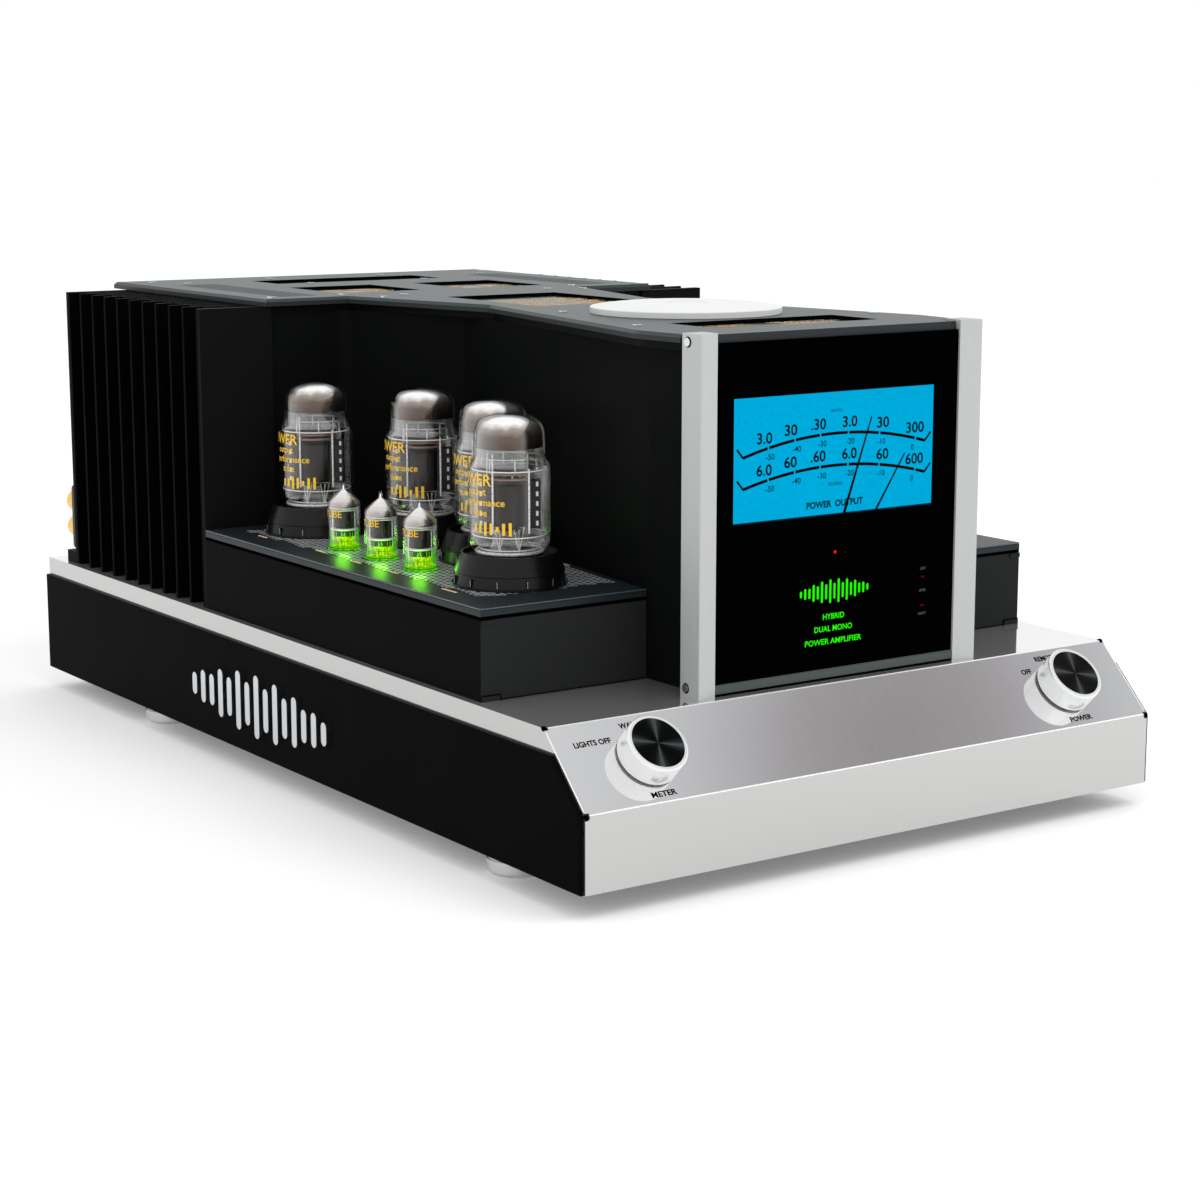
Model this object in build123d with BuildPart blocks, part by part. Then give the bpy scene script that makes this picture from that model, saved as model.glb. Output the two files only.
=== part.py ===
from build123d import *
import os
from math import cos, pi, radians, sin, sqrt

os.makedirs("parts", exist_ok=True)

# Tube power amplifier, millimetres. +Z is up, -Y is the front, X is centred on the amplifier, and
# the origin is on the surface it stands on, below the middle of its bounding box.

# Driving dimensions
width = 445
depth = 756
foot_height = 15
chassis_height = 88.5
slope = 42.5
sheet = 2
glass = 3
deck_width = 217
deck_front = 117.4
deck_back = 482.5
deck_box_height = 49.2
deck_step = 2.3
deck_plate_thickness = 4.7
bay_middle = 307
tower_half = 96.3
waist_half = 61
body_height = 211.1
plate_thickness = 5
heatsink_front = 483
heatsink_back = 712
knob_x = 165.5
knob_radius = 19.4
knob_length = 15
knob_gap = 1.5
knob_edge = 1.5

# Levels and places that follow from them
diagonal = 1 / sqrt(2)
knob_overhang = (
    (knob_gap + knob_length + knob_radius) * diagonal - knob_edge * (sqrt(2) - 1) - slope / 2
)
front = (knob_overhang - depth) / 2
rear = front + depth
base_z = foot_height
top_z = base_z + chassis_height
lip_z = top_z - slope
deck_z = top_z + deck_box_height + deck_step + deck_plate_thickness
body_top = top_z + body_height
plate_top = body_top + plate_thickness


def back(distance):
    """The y of a point that lies this far behind the front face of the chassis."""
    return front + distance


def mirrored(points):
    """The points and their mirror images across the middle plane."""
    return points + [(-x, y) for x, y in points]


def save(part, name):
    part.label = name
    export_step(part, f"parts/{name}.step")


# ---------------------------------------------------------------- chassis

bend_radius = 2
relief_radius = 2
relief_length = 6
wire_opening = 60
bushing_radius = 4.6
bushing_hole = 4.75
slope_middle = (back(slope / 2), lip_z + slope / 2)


def slope_plane(x):
    """A plane on the control panel, at this x, whose normal points out of the panel."""
    return Plane(
        origin=(x, slope_middle[0], slope_middle[1]), x_dir=(1, 0, 0), z_dir=(0, -diagonal, diagonal)
    )


with BuildPart() as chassis_shell:
    with BuildSketch(Plane.YZ):
        with BuildLine():
            Polyline(
                (front, base_z),
                (front, lip_z),
                (back(slope), top_z),
                (rear, top_z),
                (rear, base_z),
                close=True,
            )
        make_face()
    extrude(amount=width / 2, both=True)
    bends = chassis_shell.edges().filter_by(Axis.X).group_by(Axis.Z)
    fillet(bends[1] + bends[2], bend_radius)
    mitre = sheet * (sqrt(2) - 1)
    with BuildSketch(Plane.YZ):
        with BuildLine():
            Polyline(
                (back(sheet), base_z),
                (back(sheet), lip_z - mitre),
                (back(slope + mitre), top_z - sheet),
                (rear - sheet, top_z - sheet),
                (rear - sheet, base_z),
                close=True,
            )
        make_face()
    extrude(amount=width / 2 - sheet, both=True, mode=Mode.SUBTRACT)
    for side in (-1, 1):
        for corner in ((front, lip_z), (back(slope), top_z)):
            with Locations((side * width / 2, corner[0], corner[1])):
                Cylinder(relief_radius, relief_length, rotation=(0, 90, 0), mode=Mode.SUBTRACT)
        with BuildSketch(slope_plane(side * knob_x)):
            Circle(bushing_hole)
        extrude(amount=2 * sheet, both=True, mode=Mode.SUBTRACT)
    with BuildSketch(Plane.XY.offset(top_z)):
        with Locations((0, back(230)), (0, back(560))):
            Rectangle(wire_opening, wire_opening)
        with Locations((-155, back(bay_middle)), (155, back(bay_middle))):
            Rectangle(wire_opening, wire_opening)
    extrude(amount=-2 * sheet, mode=Mode.SUBTRACT)
save(chassis_shell.part, "chassis_shell")

with BuildPart() as base_plate:
    with BuildSketch(Plane.XY.offset(base_z)):
        with Locations((0, back(depth / 2))):
            Rectangle(width - 2 * sheet, depth - 2 * sheet)
        with Locations((0, back(depth / 2))):
            with GridLocations(70, 24, 4, 12):
                SlotOverall(48, 5, mode=Mode.SUBTRACT)
    extrude(amount=sheet)
save(base_plate.part, "base_plate")

# The dark glass side panels leave a band of the polished chassis showing above them.
band = 13.5
panel_inset = 1.5
panel_top = top_z - band


def side_glass(side):
    inset_rise = panel_inset * (sqrt(2) - 1)
    with BuildPart() as panel:
        with BuildSketch(Plane.YZ.offset(side * width / 2)):
            with BuildLine():
                Polyline(
                    (back(panel_inset), base_z),
                    (back(panel_inset), lip_z - inset_rise),
                    (back(panel_top - lip_z + panel_inset * sqrt(2)), panel_top),
                    (rear, panel_top),
                    (rear, base_z),
                    close=True,
                )
            make_face()
        extrude(amount=side * glass)
        outer = panel.faces().sort_by(Axis.X)[-1 if side > 0 else 0]
        chamfer(outer.edges(), 0.6)
    return panel.part


save(side_glass(-1), "side_glass_left")
save(side_glass(1), "side_glass_right")

# A generic row of sound-level bars stands on each side panel.
badge_bars = 15
badge_pitch = 13.6
badge_bar_width = 7
badge_thickness = 3
badge_middle = (back(388), base_z + 36)
with BuildPart() as side_badges:
    for side in (-1, 1):
        with BuildSketch(Plane.YZ.offset(side * (width / 2 + glass))):
            for bar in range(badge_bars):
                swell = sin(radians(180 * (bar + 0.5) / badge_bars))
                height = 14 + 30 * swell * (1 if bar % 2 else 0.55)
                offset_y = (bar - (badge_bars - 1) / 2) * badge_pitch
                with Locations((badge_middle[0] + offset_y, badge_middle[1])):
                    SlotOverall(height, badge_bar_width, rotation=90)
        extrude(amount=side * badge_thickness)
save(side_badges.part, "side_badges")

foot_radius = 20
foot_x = 197
with BuildPart() as foot:
    with BuildSketch(Plane.XZ):
        with BuildLine():
            Polyline(
                (0, 0),
                (foot_radius - 2, 0),
                (foot_radius, 2),
                (foot_radius, 9),
                (foot_radius - 1, 9.5),
                (foot_radius - 1, 10.5),
                (foot_radius, 11),
                (foot_radius, foot_height),
                (0, foot_height),
                close=True,
            )
        make_face()
    revolve(axis=Axis.Z)
with BuildPart() as feet:
    with Locations(*mirrored([(foot_x, back(108)), (foot_x, back(590))])):
        add(foot.part)
save(feet.part, "feet")

# ---------------------------------------------------------------- tube decks

wall = 2
wall_radius = 12
box_sheet = 1.5
deck_clearance = 0.5
tab_width = 13
tab_height = 3.5
power_tubes = [(155, 182), (116, 262), (116, 352), (155, 432)]
driver_tubes = [(175, 257), (175, 307), (175, 357)]
power_hole = 17
driver_hole = 11
# Where the folded body wall runs, as distances from the middle and from the front face
wall_corner = 115
wall_waist = 385
wall_back = 486
shoulder_half = 101
heatsink_inner = 161


def deck_outline(side):
    """The deck's plan: straight outside, and following the folded body wall inside."""
    gap = deck_clearance
    outer_front = (side * deck_width, back(deck_front))
    outer_back = (side * deck_width, back(deck_back))
    inner_front = (side * (tower_half + gap), back(deck_front))
    with BuildSketch() as outline:
        with BuildLine():
            FilletPolyline(
                inner_front,
                (side * (waist_half + gap), back(wall_waist)),
                (side * (shoulder_half + gap), back(deck_back)),
                outer_back,
                radius=wall_radius + 1,
            )
            Polyline(outer_back, outer_front, inner_front)
        make_face()
    return outline.sketch


def deck_box(side):
    with BuildPart() as box:
        with BuildSketch(Plane.XY.offset(top_z)):
            add(deck_outline(side))
            offset(amount=-box_sheet, mode=Mode.SUBTRACT)
        extrude(amount=deck_box_height)
        corner = side * (deck_width - tab_width / 2)
        with Locations((corner, back(deck_front), top_z + tab_height / 2)):
            Box(tab_width, 1.6, tab_height)
        with Locations((side * (deck_width - 4.5), back(deck_front), top_z + deck_box_height - 1.5)):
            Box(9, 1.6, 3)
    return box.part


def deck_plate(side):
    with BuildPart() as plate:
        with BuildSketch(Plane.XY.offset(deck_z - deck_plate_thickness)):
            add(deck_outline(side))
        extrude(amount=deck_plate_thickness)
        top_edges = plate.faces().sort_by(Axis.Z)[-1].edges()
        chamfer(top_edges, 1.2)
        with BuildSketch(Plane.XY.offset(top_z + deck_box_height)):
            add(deck_outline(side))
            offset(amount=-2, mode=Mode.REPLACE)
        extrude(amount=deck_step)
        with BuildSketch(Plane.XY.offset(deck_z)):
            with Locations(*[(side * x, back(y)) for x, y in power_tubes]):
                Circle(power_hole)
            with Locations(*[(side * x, back(y)) for x, y in driver_tubes]):
                Circle(driver_hole)
        extrude(amount=-deck_plate_thickness - deck_step, mode=Mode.SUBTRACT)
    return plate.part


for side, name in ((-1, "left"), (1, "right")):
    save(deck_box(side), f"deck_box_{name}")
    save(deck_plate(side), f"deck_plate_{name}")

# One collar: a flared, ribbed foot, a tapering body and a shallow dish inside its rim.
collar_foot = 36.3
collar_rim = 30.5
collar_height = 20.6
dish_hole = 21
collar_ribs = 12
with BuildPart() as collar:
    with BuildSketch(Plane.XZ):
        with BuildLine():
            Polyline(
                (collar_foot, 0),
                (collar_foot, 1.8),
                (collar_foot - 1.2, 1.8),
                (collar_foot - 2.4, 8.4),
                (collar_foot - 1.8, 8.9),
                (collar_rim, collar_height),
                (collar_rim - 1.2, collar_height),
                (collar_rim - 1.6, collar_height - 2.6),
                (dish_hole, collar_height - 3.6),
                (dish_hole, collar_height - 5.6),
                (collar_rim - 2.6, collar_height - 5.4),
                (collar_foot - 4.2, 0),
                close=True,
            )
        make_face()
    revolve(axis=Axis.Z)
    with PolarLocations(collar_foot - 2.2, collar_ribs, start_angle=15):
        Box(3.4, 0.9, 6.9, align=(Align.CENTER, Align.CENTER, Align.MIN))

octal_pitch = 8.72
octal_pin = 1.19
octal_pins = 8
noval_pitch = 5.95
noval_pin = 0.51
noval_pins = 9
noval_sweep = 288
power_base_z = 3
driver_base_z = 1.5
with BuildPart() as octal_socket:
    Cylinder(19, 7, align=(Align.CENTER, Align.CENTER, Align.MAX))
    with BuildSketch():
        Circle(power_hole - 0.3)
    extrude(amount=power_base_z + deck_plate_thickness + deck_step)
    with BuildSketch(Plane.XY.offset(power_base_z + deck_plate_thickness + deck_step)):
        Circle(4.3)
        with PolarLocations(octal_pitch, octal_pins):
            Circle(octal_pin + 0.15)
    extrude(amount=-14, mode=Mode.SUBTRACT)
with BuildPart() as noval_socket:
    Cylinder(13, 6, align=(Align.CENTER, Align.CENTER, Align.MAX))
    with BuildSketch():
        Circle(driver_hole - 0.3)
    extrude(amount=driver_base_z + deck_plate_thickness + deck_step)
    with BuildSketch(Plane.XY.offset(driver_base_z + deck_plate_thickness + deck_step)):
        with PolarLocations(noval_pitch, noval_pins, 18, noval_sweep, endpoint=True):
            Circle(noval_pin + 0.15)
    extrude(amount=-11, mode=Mode.SUBTRACT)

power_places = [(x, back(y)) for x, y in power_tubes]
driver_places = [(x, back(y)) for x, y in driver_tubes]


def raised(places, z):
    return [(x, y, z) for x, y in places]


with BuildPart() as tube_collars:
    with Locations(*raised(mirrored(power_places), deck_z)):
        add(collar.part)
save(tube_collars.part, "tube_collars")

socket_z = top_z + deck_box_height
with BuildPart() as tube_sockets:
    with Locations(*raised(mirrored(power_places), socket_z)):
        add(octal_socket.part)
    with Locations(*raised(mirrored(driver_places), socket_z)):
        add(noval_socket.part)
save(tube_sockets.part, "tube_sockets")

# ---------------------------------------------------------------- tubes, from the deck's top up

power_glass_radius = 25.6
power_dome_radius = 22.2
power_tube_height = 106
envelope = 1.3


def power_profile(inset):
    """Half of a power tube's envelope, moved inwards by the inset."""
    side = power_glass_radius - inset
    neck = power_dome_radius - inset
    with BuildSketch(Plane.XZ) as half:
        with BuildLine():
            foot_point = (20.3 - inset, 20)
            Line((0, 20), foot_point)
            ThreePointArc(foot_point, (23.4 - inset, 22.6), (side, 29))
            Line((side, 29), (side, 73))
            Spline((side, 73), (neck + 0.2, 80.5), tangents=((0, 1), (0, 1)))
            Line((neck + 0.2, 80.5), (neck, 92))
            Spline((neck, 92), (0, power_tube_height - inset), tangents=((0, 1), (-1, 0)))
            Line((0, power_tube_height - inset), (0, 20))
        make_face()
    return half.sketch


with BuildPart() as power_envelope:
    add(power_profile(0))
    revolve(axis=Axis.Z)
    add(power_profile(envelope))
    revolve(axis=Axis.Z, mode=Mode.SUBTRACT)

with BuildPart() as power_core:
    with BuildSketch(Plane.XZ):
        with BuildLine():
            Polyline(
                (0, power_base_z),
                (19.2, power_base_z),
                (20.3, 5),
                (20.3, 20),
                (18.4, 20),
                (13, 23),
                (9, 34.5),
                (0, 34.5),
                close=True,
            )
        make_face()
    revolve(axis=Axis.Z)
    with BuildSketch(Plane.XY.offset(power_base_z)):
        Circle(3.9)
        with PolarLocations(octal_pitch, octal_pins):
            Circle(octal_pin)
    extrude(amount=-12)
    for mica_z in (34, 72.5):
        with Locations((0, 0, mica_z)):
            Cylinder(22.3, 0.8, align=(Align.CENTER, Align.CENTER, Align.MIN))
    with BuildSketch(Plane.XY.offset(37)):
        RectangleRounded(38, 13, 2)
        Circle(10.5)
    extrude(amount=31)
    with Locations((-16, 0, 34), (16, 0, 34), (0, -12.5, 34), (0, 12.5, 34)):
        Cylinder(0.9, 45, align=(Align.CENTER, Align.CENTER, Align.MIN))
    with Locations((0, 0, 79)):
        Torus(14.2, 1.1)
    with Locations((0, 0, 79)):
        Box(32, 1.6, 1.2)
        Box(1.6, 25, 1.2)

driver_radius = 11
driver_height = 45


def driver_profile(inset):
    """Half of a driver tube's envelope with its pinched tip, moved inwards by the inset."""
    side = driver_radius - inset
    tip = 0.8 if inset == 0 else 0.1
    with BuildSketch(Plane.XZ) as half:
        with BuildLine():
            Line((0, driver_base_z), (side - 1, driver_base_z))
            Line((side - 1, driver_base_z), (side, 4))
            Line((side, 4), (side, 30))
            Spline((side, 30), (1.7 - inset, 40.5 - inset), tangents=((0, 1), (-0.5, 1)))
            Line((1.7 - inset, 40.5 - inset), (tip, driver_height - 4 * inset))
            Line((tip, driver_height - 4 * inset), (0, driver_height - 4 * inset))
            Line((0, driver_height - 4 * inset), (0, driver_base_z))
        make_face()
    return half.sketch


with BuildPart() as driver_envelope:
    add(driver_profile(0))
    revolve(axis=Axis.Z)
    add(driver_profile(0.9))
    revolve(axis=Axis.Z, mode=Mode.SUBTRACT)

with BuildPart() as driver_core:
    with BuildSketch(Plane.XY.offset(driver_base_z)):
        with PolarLocations(noval_pitch, noval_pins, 18, noval_sweep, endpoint=True):
            Circle(noval_pin)
    extrude(amount=-9)
    with Locations((0, 0, driver_base_z)):
        Cylinder(8.8, 2.4, align=(Align.CENTER, Align.CENTER, Align.MIN))
    with Locations((-6, 0, 3), (6, 0, 3), (0, -5, 3), (0, 5, 3)):
        Cylinder(0.45, 27, align=(Align.CENTER, Align.CENTER, Align.MIN))
    for mica_z in (9, 27):
        with Locations((0, 0, mica_z)):
            Cylinder(9.2, 0.6, align=(Align.CENTER, Align.CENTER, Align.MIN))
    with BuildSketch(Plane.XY.offset(11)):
        RectangleRounded(13, 8, 1.5)
    extrude(amount=14)

for side, name in ((-1, "left"), (1, "right")):
    side_power = raised([(side * x, y) for x, y in power_places], deck_z)
    side_driver = raised([(side * x, y) for x, y in driver_places], deck_z)
    for kind, part, places in (
        ("power_tube_glass", power_envelope.part, side_power),
        ("power_tube_cores", power_core.part, side_power),
        ("driver_tube_glass", driver_envelope.part, side_driver),
        ("driver_tube_cores", driver_core.part, side_driver),
    ):
        with BuildPart() as tubes:
            with Locations(*places):
                add(part)
        save(tubes.part, f"{kind}_{name}")

# ---------------------------------------------------------------- body and top

rim_thickness = 5
rim_inset = 5
rim_wide = 160.9
plate_chamfer = 2
pane_margin = 3
pane_gap = 0.2
pane_drop = 1.8
panel_thickness = 3
bar_outer = 110
bar_inner = 95
bar_front = 45
bar_back = 64
bar_top = plate_top + 1
wide_half = 167
wide_front = 480
plate_back = 738
glass_front = 51
glass_thickness = 4
tower_bend = 25
waist_bend = 45


def body_wall(side):
    """A folded sheet from the tower, round the tube bay, to the heat sink."""
    with BuildPart() as folded:
        with BuildSketch(Plane.XY.offset(top_z)):
            with BuildLine():
                FilletPolyline(
                    (side * tower_half, back(bar_back)),
                    (side * tower_half, back(wall_corner)),
                    (side * waist_half, back(wall_waist)),
                    (side * shoulder_half, back(wall_back)),
                    (side * heatsink_inner, back(wall_back)),
                    radius=wall_radius,
                )
                offset(amount=wall, side=Side.LEFT if side > 0 else Side.RIGHT)
            make_face()
        extrude(amount=body_height - rim_thickness)
    return folded.part


save(body_wall(-1), "body_wall_left")
save(body_wall(1), "body_wall_right")


def plate_outline(inset, wide, end):
    """The top's plan: a narrow tower end, a waist, and a rear this wide that ends at this y."""
    beside_bars = back(bar_back + 2)
    nose = back(glass_front + 2 + inset)
    corners = [
        (0, nose),
        (bar_inner - 1, nose),
        (bar_inner - 1, beside_bars),
        (bar_outer - inset, beside_bars),
        (bar_outer + 4 - inset, back(106)),
        (67.5 - inset, back(344)),
        (shoulder_half - inset, back(wide_front + inset)),
        (wide, back(wide_front + inset)),
        (wide, end),
        (0, end),
    ]
    with BuildSketch() as outline:
        for side in (-1, 1):
            with BuildLine():
                Polyline(*[(side * x, y) for x, y in corners], close=True)
            make_face()
        tower_corners = [point for point in outline.vertices() if abs(point.Y - back(106)) < 1]
        waist_corners = [point for point in outline.vertices() if abs(point.Y - back(344)) < 1]
        fillet(tower_corners, tower_bend)
        fillet(waist_corners, waist_bend)
    return outline.sketch


# Each window: its middle, its distance behind the front face, its width and its depth.
windows = [
    (0, 116, 130, 47),
    (0, 375, 92, 118),
    (-54, 554, 70, 78),
    (54, 554, 70, 78),
    (0, 664, 146, 45),
]
vent_x = 129.5
vent_y = 584
vent_length = 31
vent_width = 2.4
vent_pitch = 6
vent_count = 28


def cut_windows(margin):
    for x, y, across, along in windows:
        with Locations((x, back(y))):
            Rectangle(across + 2 * margin, along + 2 * margin, mode=Mode.SUBTRACT)


screw_places = [
    (51, 699),
    (51, 629),
    (157, 491),
    (100, 491),
    (86, 455),
    (62, 467),
    (66, 255),
    (94, 132),
    (133, 677),
    (150, 704),
]
screw_holes = mirrored([(x, back(y)) for x, y in screw_places])
screw_hole = 1.7
screw_shank = 1.5
screw_head = 3.1
disc_y = 209
disc_radius = 62.8
disc_edge = 4.4
disc_height = 6.9
dimple_radius = 15
dimple_depth = 0.4

with BuildPart() as top_rim:
    with BuildSketch(Plane.XY.offset(body_top - rim_thickness)):
        add(plate_outline(rim_inset, rim_wide, back(heatsink_back)))
        cut_windows(pane_margin)
        with Locations(*screw_holes):
            Circle(screw_hole, mode=Mode.SUBTRACT)
        with Locations((-vent_x, back(vent_y)), (vent_x, back(vent_y))):
            Rectangle(vent_length + 4, vent_count * vent_pitch + 4, mode=Mode.SUBTRACT)
    extrude(amount=rim_thickness)
save(top_rim.part, "top_rim")

with BuildPart() as top_plate:
    with BuildSketch(Plane.XY.offset(body_top)):
        add(plate_outline(0, wide_half, back(plate_back)))
    extrude(amount=plate_thickness)
    top_face = top_plate.faces().sort_by(Axis.Z)[-1]
    chamfer([edge for edge in top_face.edges() if edge.center().Y > back(bar_back + 3)], plate_chamfer)
    with BuildSketch(Plane.XY.offset(body_top)):
        for x, y, across, along in windows:
            with Locations((x, back(y))):
                Rectangle(across, along)
        with Locations(*screw_holes):
            Circle(screw_hole)
        with Locations((-vent_x, back(vent_y)), (vent_x, back(vent_y))):
            with GridLocations(vent_pitch, vent_pitch, 1, vent_count):
                SlotOverall(vent_length, vent_width)
    extrude(amount=plate_thickness, mode=Mode.SUBTRACT)
save(top_plate.part, "top_plate")

with BuildPart() as top_windows:
    with BuildSketch(Plane.XY.offset(body_top - rim_thickness)):
        for x, y, across, along in windows:
            with Locations((x, back(y))):
                Rectangle(across + 2 * pane_margin, along + 2 * pane_margin)
    extrude(amount=rim_thickness)
    with BuildSketch(Plane.XY.offset(body_top)):
        for x, y, across, along in windows:
            with Locations((x, back(y))):
                Rectangle(across - 2 * pane_gap, along - 2 * pane_gap)
    extrude(amount=plate_thickness - pane_drop)
save(top_windows.part, "top_windows")

with BuildPart() as top_disc:
    with BuildSketch(Plane.XZ.offset(-back(disc_y))):
        with BuildLine():
            floor = plate_top
            crown = floor + disc_height
            edge_top = (disc_radius, floor + disc_edge - 0.5)
            edge_inner = (disc_radius - 0.5, floor + disc_edge)
            flat = (disc_radius - 30, crown)
            Polyline((0, floor), (disc_radius - 0.4, floor), (disc_radius, floor + 0.4), edge_top)
            Line(edge_top, edge_inner)
            Spline(edge_inner, flat, tangents=((-1, 0.16), (-1, 0)))
            Polyline(
                flat,
                (dimple_radius, crown),
                (dimple_radius - 2, crown - dimple_depth),
                (0, crown - dimple_depth),
                (0, floor),
            )
        make_face()
    revolve(axis=Axis((0, back(disc_y), 0), (0, 0, 1)))
save(top_disc.part, "top_disc")

bar_screw_y = 58.5
bar_screw_head = 2.6
head_height = 0.9
head_recess = 0.6
recess_width = 1.2
standing = (Align.CENTER, Align.CENTER, Align.MIN)
with BuildPart() as cover_screws:
    for x, y in screw_holes:
        with Locations((x, y, plate_top)):
            Cylinder(screw_head, head_height, align=standing)
            Cylinder(screw_shank, 9, align=(Align.CENTER, Align.CENTER, Align.MAX))
    with Locations(*[(x, y, plate_top + head_height - head_recess) for x, y in screw_holes]):
        Cylinder(recess_width, head_recess, align=standing, mode=Mode.SUBTRACT)
    for side in (-1, 1):
        for z in (top_z + 6, bar_top - 5):
            with Locations((side * bar_outer, back(bar_screw_y), z)):
                Cylinder(bar_screw_head, head_height, rotation=(0, side * 90, 0), align=standing)
save(cover_screws.part, "cover_screws")

foot_flange = 9
ledge = 16
post_x = 205
post_heights = (top_z + 26.5, top_z + 46.5)
post_stud = 3
inlet_size = (28, 21)
inlet_height = top_z + 38
xlr_x = 70
xlr_height = top_z + 40
xlr_radius = 12
rca_x = 105
rca_radius = 4.6
panel_back = heatsink_back + panel_thickness
with BuildPart() as rear_panel:
    with BuildSketch(Plane.XZ.offset(-back(panel_back))):
        with Locations((0, top_z + body_height / 2)):
            Rectangle(2 * deck_width, body_height)
        with Locations((0, inlet_height)):
            Rectangle(*inlet_size, mode=Mode.SUBTRACT)
        with Locations((-xlr_x, xlr_height), (xlr_x, xlr_height)):
            Circle(xlr_radius, mode=Mode.SUBTRACT)
        with Locations((-rca_x, xlr_height), (rca_x, xlr_height)):
            Circle(rca_radius, mode=Mode.SUBTRACT)
        with Locations((0, top_z + 150)):
            with GridLocations(11, 11, 26, 5):
                Circle(2.6, mode=Mode.SUBTRACT)
    extrude(amount=panel_thickness)
    with Locations((0, back(panel_back), top_z)):
        Box(2 * deck_width, ledge, foot_flange, align=(Align.CENTER, Align.MIN, Align.MIN))
save(rear_panel.part, "rear_panel")

# ---------------------------------------------------------------- heat sinks

fins = 11
fin_thickness = 3
short_fin = 2
short_drop = 11
sink_base = 8
sink_front = wall_back
fin_pitch = (heatsink_back - sink_front - fin_thickness) / (fins - 1)


def heatsink(side):
    """A thick base with tall fins, and a thinner, shorter fin between each two."""
    reach = deck_width - heatsink_inner
    middle = back((sink_front + heatsink_back) / 2)
    short = reach - short_drop
    with BuildPart() as sink:
        with BuildSketch(Plane.XY.offset(top_z)):
            with Locations((side * (heatsink_inner + sink_base / 2), middle)):
                Rectangle(sink_base, heatsink_back - sink_front)
            with Locations((side * (heatsink_inner + reach / 2), middle)):
                with GridLocations(fin_pitch, fin_pitch, 1, fins):
                    Rectangle(reach, fin_thickness)
            with Locations((side * (heatsink_inner + short / 2), middle)):
                with GridLocations(fin_pitch, fin_pitch, 1, fins - 1):
                    Rectangle(short, short_fin)
        extrude(amount=body_height)
    return sink.part


save(heatsink(-1), "heatsink_left")
save(heatsink(1), "heatsink_right")

with BuildPart() as heatsink_end_plates:
    end_middle = (deck_width + heatsink_inner) / 2
    with BuildSketch(Plane.XY.offset(top_z)):
        with Locations(*mirrored([(end_middle, back((heatsink_front + wall_back) / 2))])):
            Rectangle(deck_width - heatsink_inner, wall_back - heatsink_front)
    extrude(amount=body_height)
save(heatsink_end_plates.part, "heatsink_end_plates")

with BuildPart() as output_transistors:
    for x in (-heatsink_inner + 2.5, heatsink_inner - 2.5):
        for height in (70, 150):
            with Locations(*[(x, back(520 + 38 * place), top_z + height) for place in range(5)]):
                Box(5, 16, 21)
save(output_transistors.part, "output_transistors")

# ---------------------------------------------------------------- front of the tower

strip_height = 7
window_x = -1
window_half = 80.4
window_low = top_z + 102.6
window_high = top_z + 177.7
window_middle = (window_low + window_high) / 2
window_size = (2 * window_half, window_high - window_low)


def corner_bar(side):
    with BuildPart() as bar:
        with BuildSketch(Plane.XY.offset(top_z)):
            with BuildLine():
                Polyline(
                    (side * bar_outer, back(bar_back)),
                    (side * bar_outer, back(bar_front)),
                    (side * bar_inner, back(glass_front - 1.5)),
                    (side * bar_inner, back(bar_back)),
                    close=True,
                )
            make_face()
        extrude(amount=bar_top - top_z)
        chamfer(bar.edges().filter_by(Axis.Z).sort_by(Axis.Y)[0], 0.8)
    return bar.part


save(corner_bar(-1), "corner_bar_left")
save(corner_bar(1), "corner_bar_right")

with BuildPart() as front_panel:
    with BuildSketch(Plane.XZ.offset(-back(glass_front + glass_thickness))):
        with Locations((0, (top_z + strip_height + body_top) / 2)):
            Rectangle(2 * bar_inner, body_height - strip_height)
        with Locations((window_x, window_middle)):
            Rectangle(*window_size, mode=Mode.SUBTRACT)
    extrude(amount=glass_thickness)
save(front_panel.part, "front_panel")

with BuildPart() as meter_window:
    with BuildSketch(Plane.XZ.offset(-back(glass_front + glass_thickness))):
        with Locations((window_x, window_middle)):
            Rectangle(*window_size)
    extrude(amount=glass_thickness - 1)
save(meter_window.part, "meter_window")

with BuildPart() as trim_strip:
    with Locations((0, back(glass_front - 1), top_z)):
        Box(2 * bar_inner, 5, strip_height, align=(Align.CENTER, Align.MIN, Align.MIN))
    chamfer(trim_strip.edges().filter_by(Axis.X).sort_by(Axis.Z)[-2:].sort_by(Axis.Y)[0], 0.8)
save(trim_strip.part, "trim_strip")

# The meter: a lit face in a tray, and two needles whose pivots lie below it, out of sight.
face_front = glass_front + 7.6
face_thickness = 2
face_half = 84
face_low = window_low - 4
face_high = window_high + 4
spindle = 1
spindle_bore = 1.05
movement_depth = 22
movement_size = (36, 24)
movement_front = face_front + face_thickness
needle_thickness = 0.4
pivot_x = 2.6
lower_pivot = top_z + 54.7
lower_length = 97.6
lower_rest = 34
lower_front = glass_front + 5.2
upper_pivot = top_z + 81.5
upper_length = 83.4
upper_rest = 19.7
upper_front = glass_front + 6.4
tail_length = 10
weight_radius = 4.5
root_width = 2.4
tip_width = 0.7

with BuildPart() as meter_face:
    with Locations((0, back(face_front), face_low)):
        Box(
            2 * face_half,
            face_thickness,
            face_high - face_low,
            align=(Align.CENTER, Align.MIN, Align.MIN),
        )
    rim_depth = face_front - glass_front - glass_thickness
    for x in (1 - face_half, face_half - 1):
        with Locations((x, back(face_front), face_low)):
            Box(2, rim_depth, face_high - face_low, align=(Align.CENTER, Align.MAX, Align.MIN))
    with Locations((0, back(face_front), face_high)):
        Box(2 * face_half, rim_depth, 2, align=(Align.CENTER, Align.MAX, Align.MAX))
save(meter_face.part, "meter_face")

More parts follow.
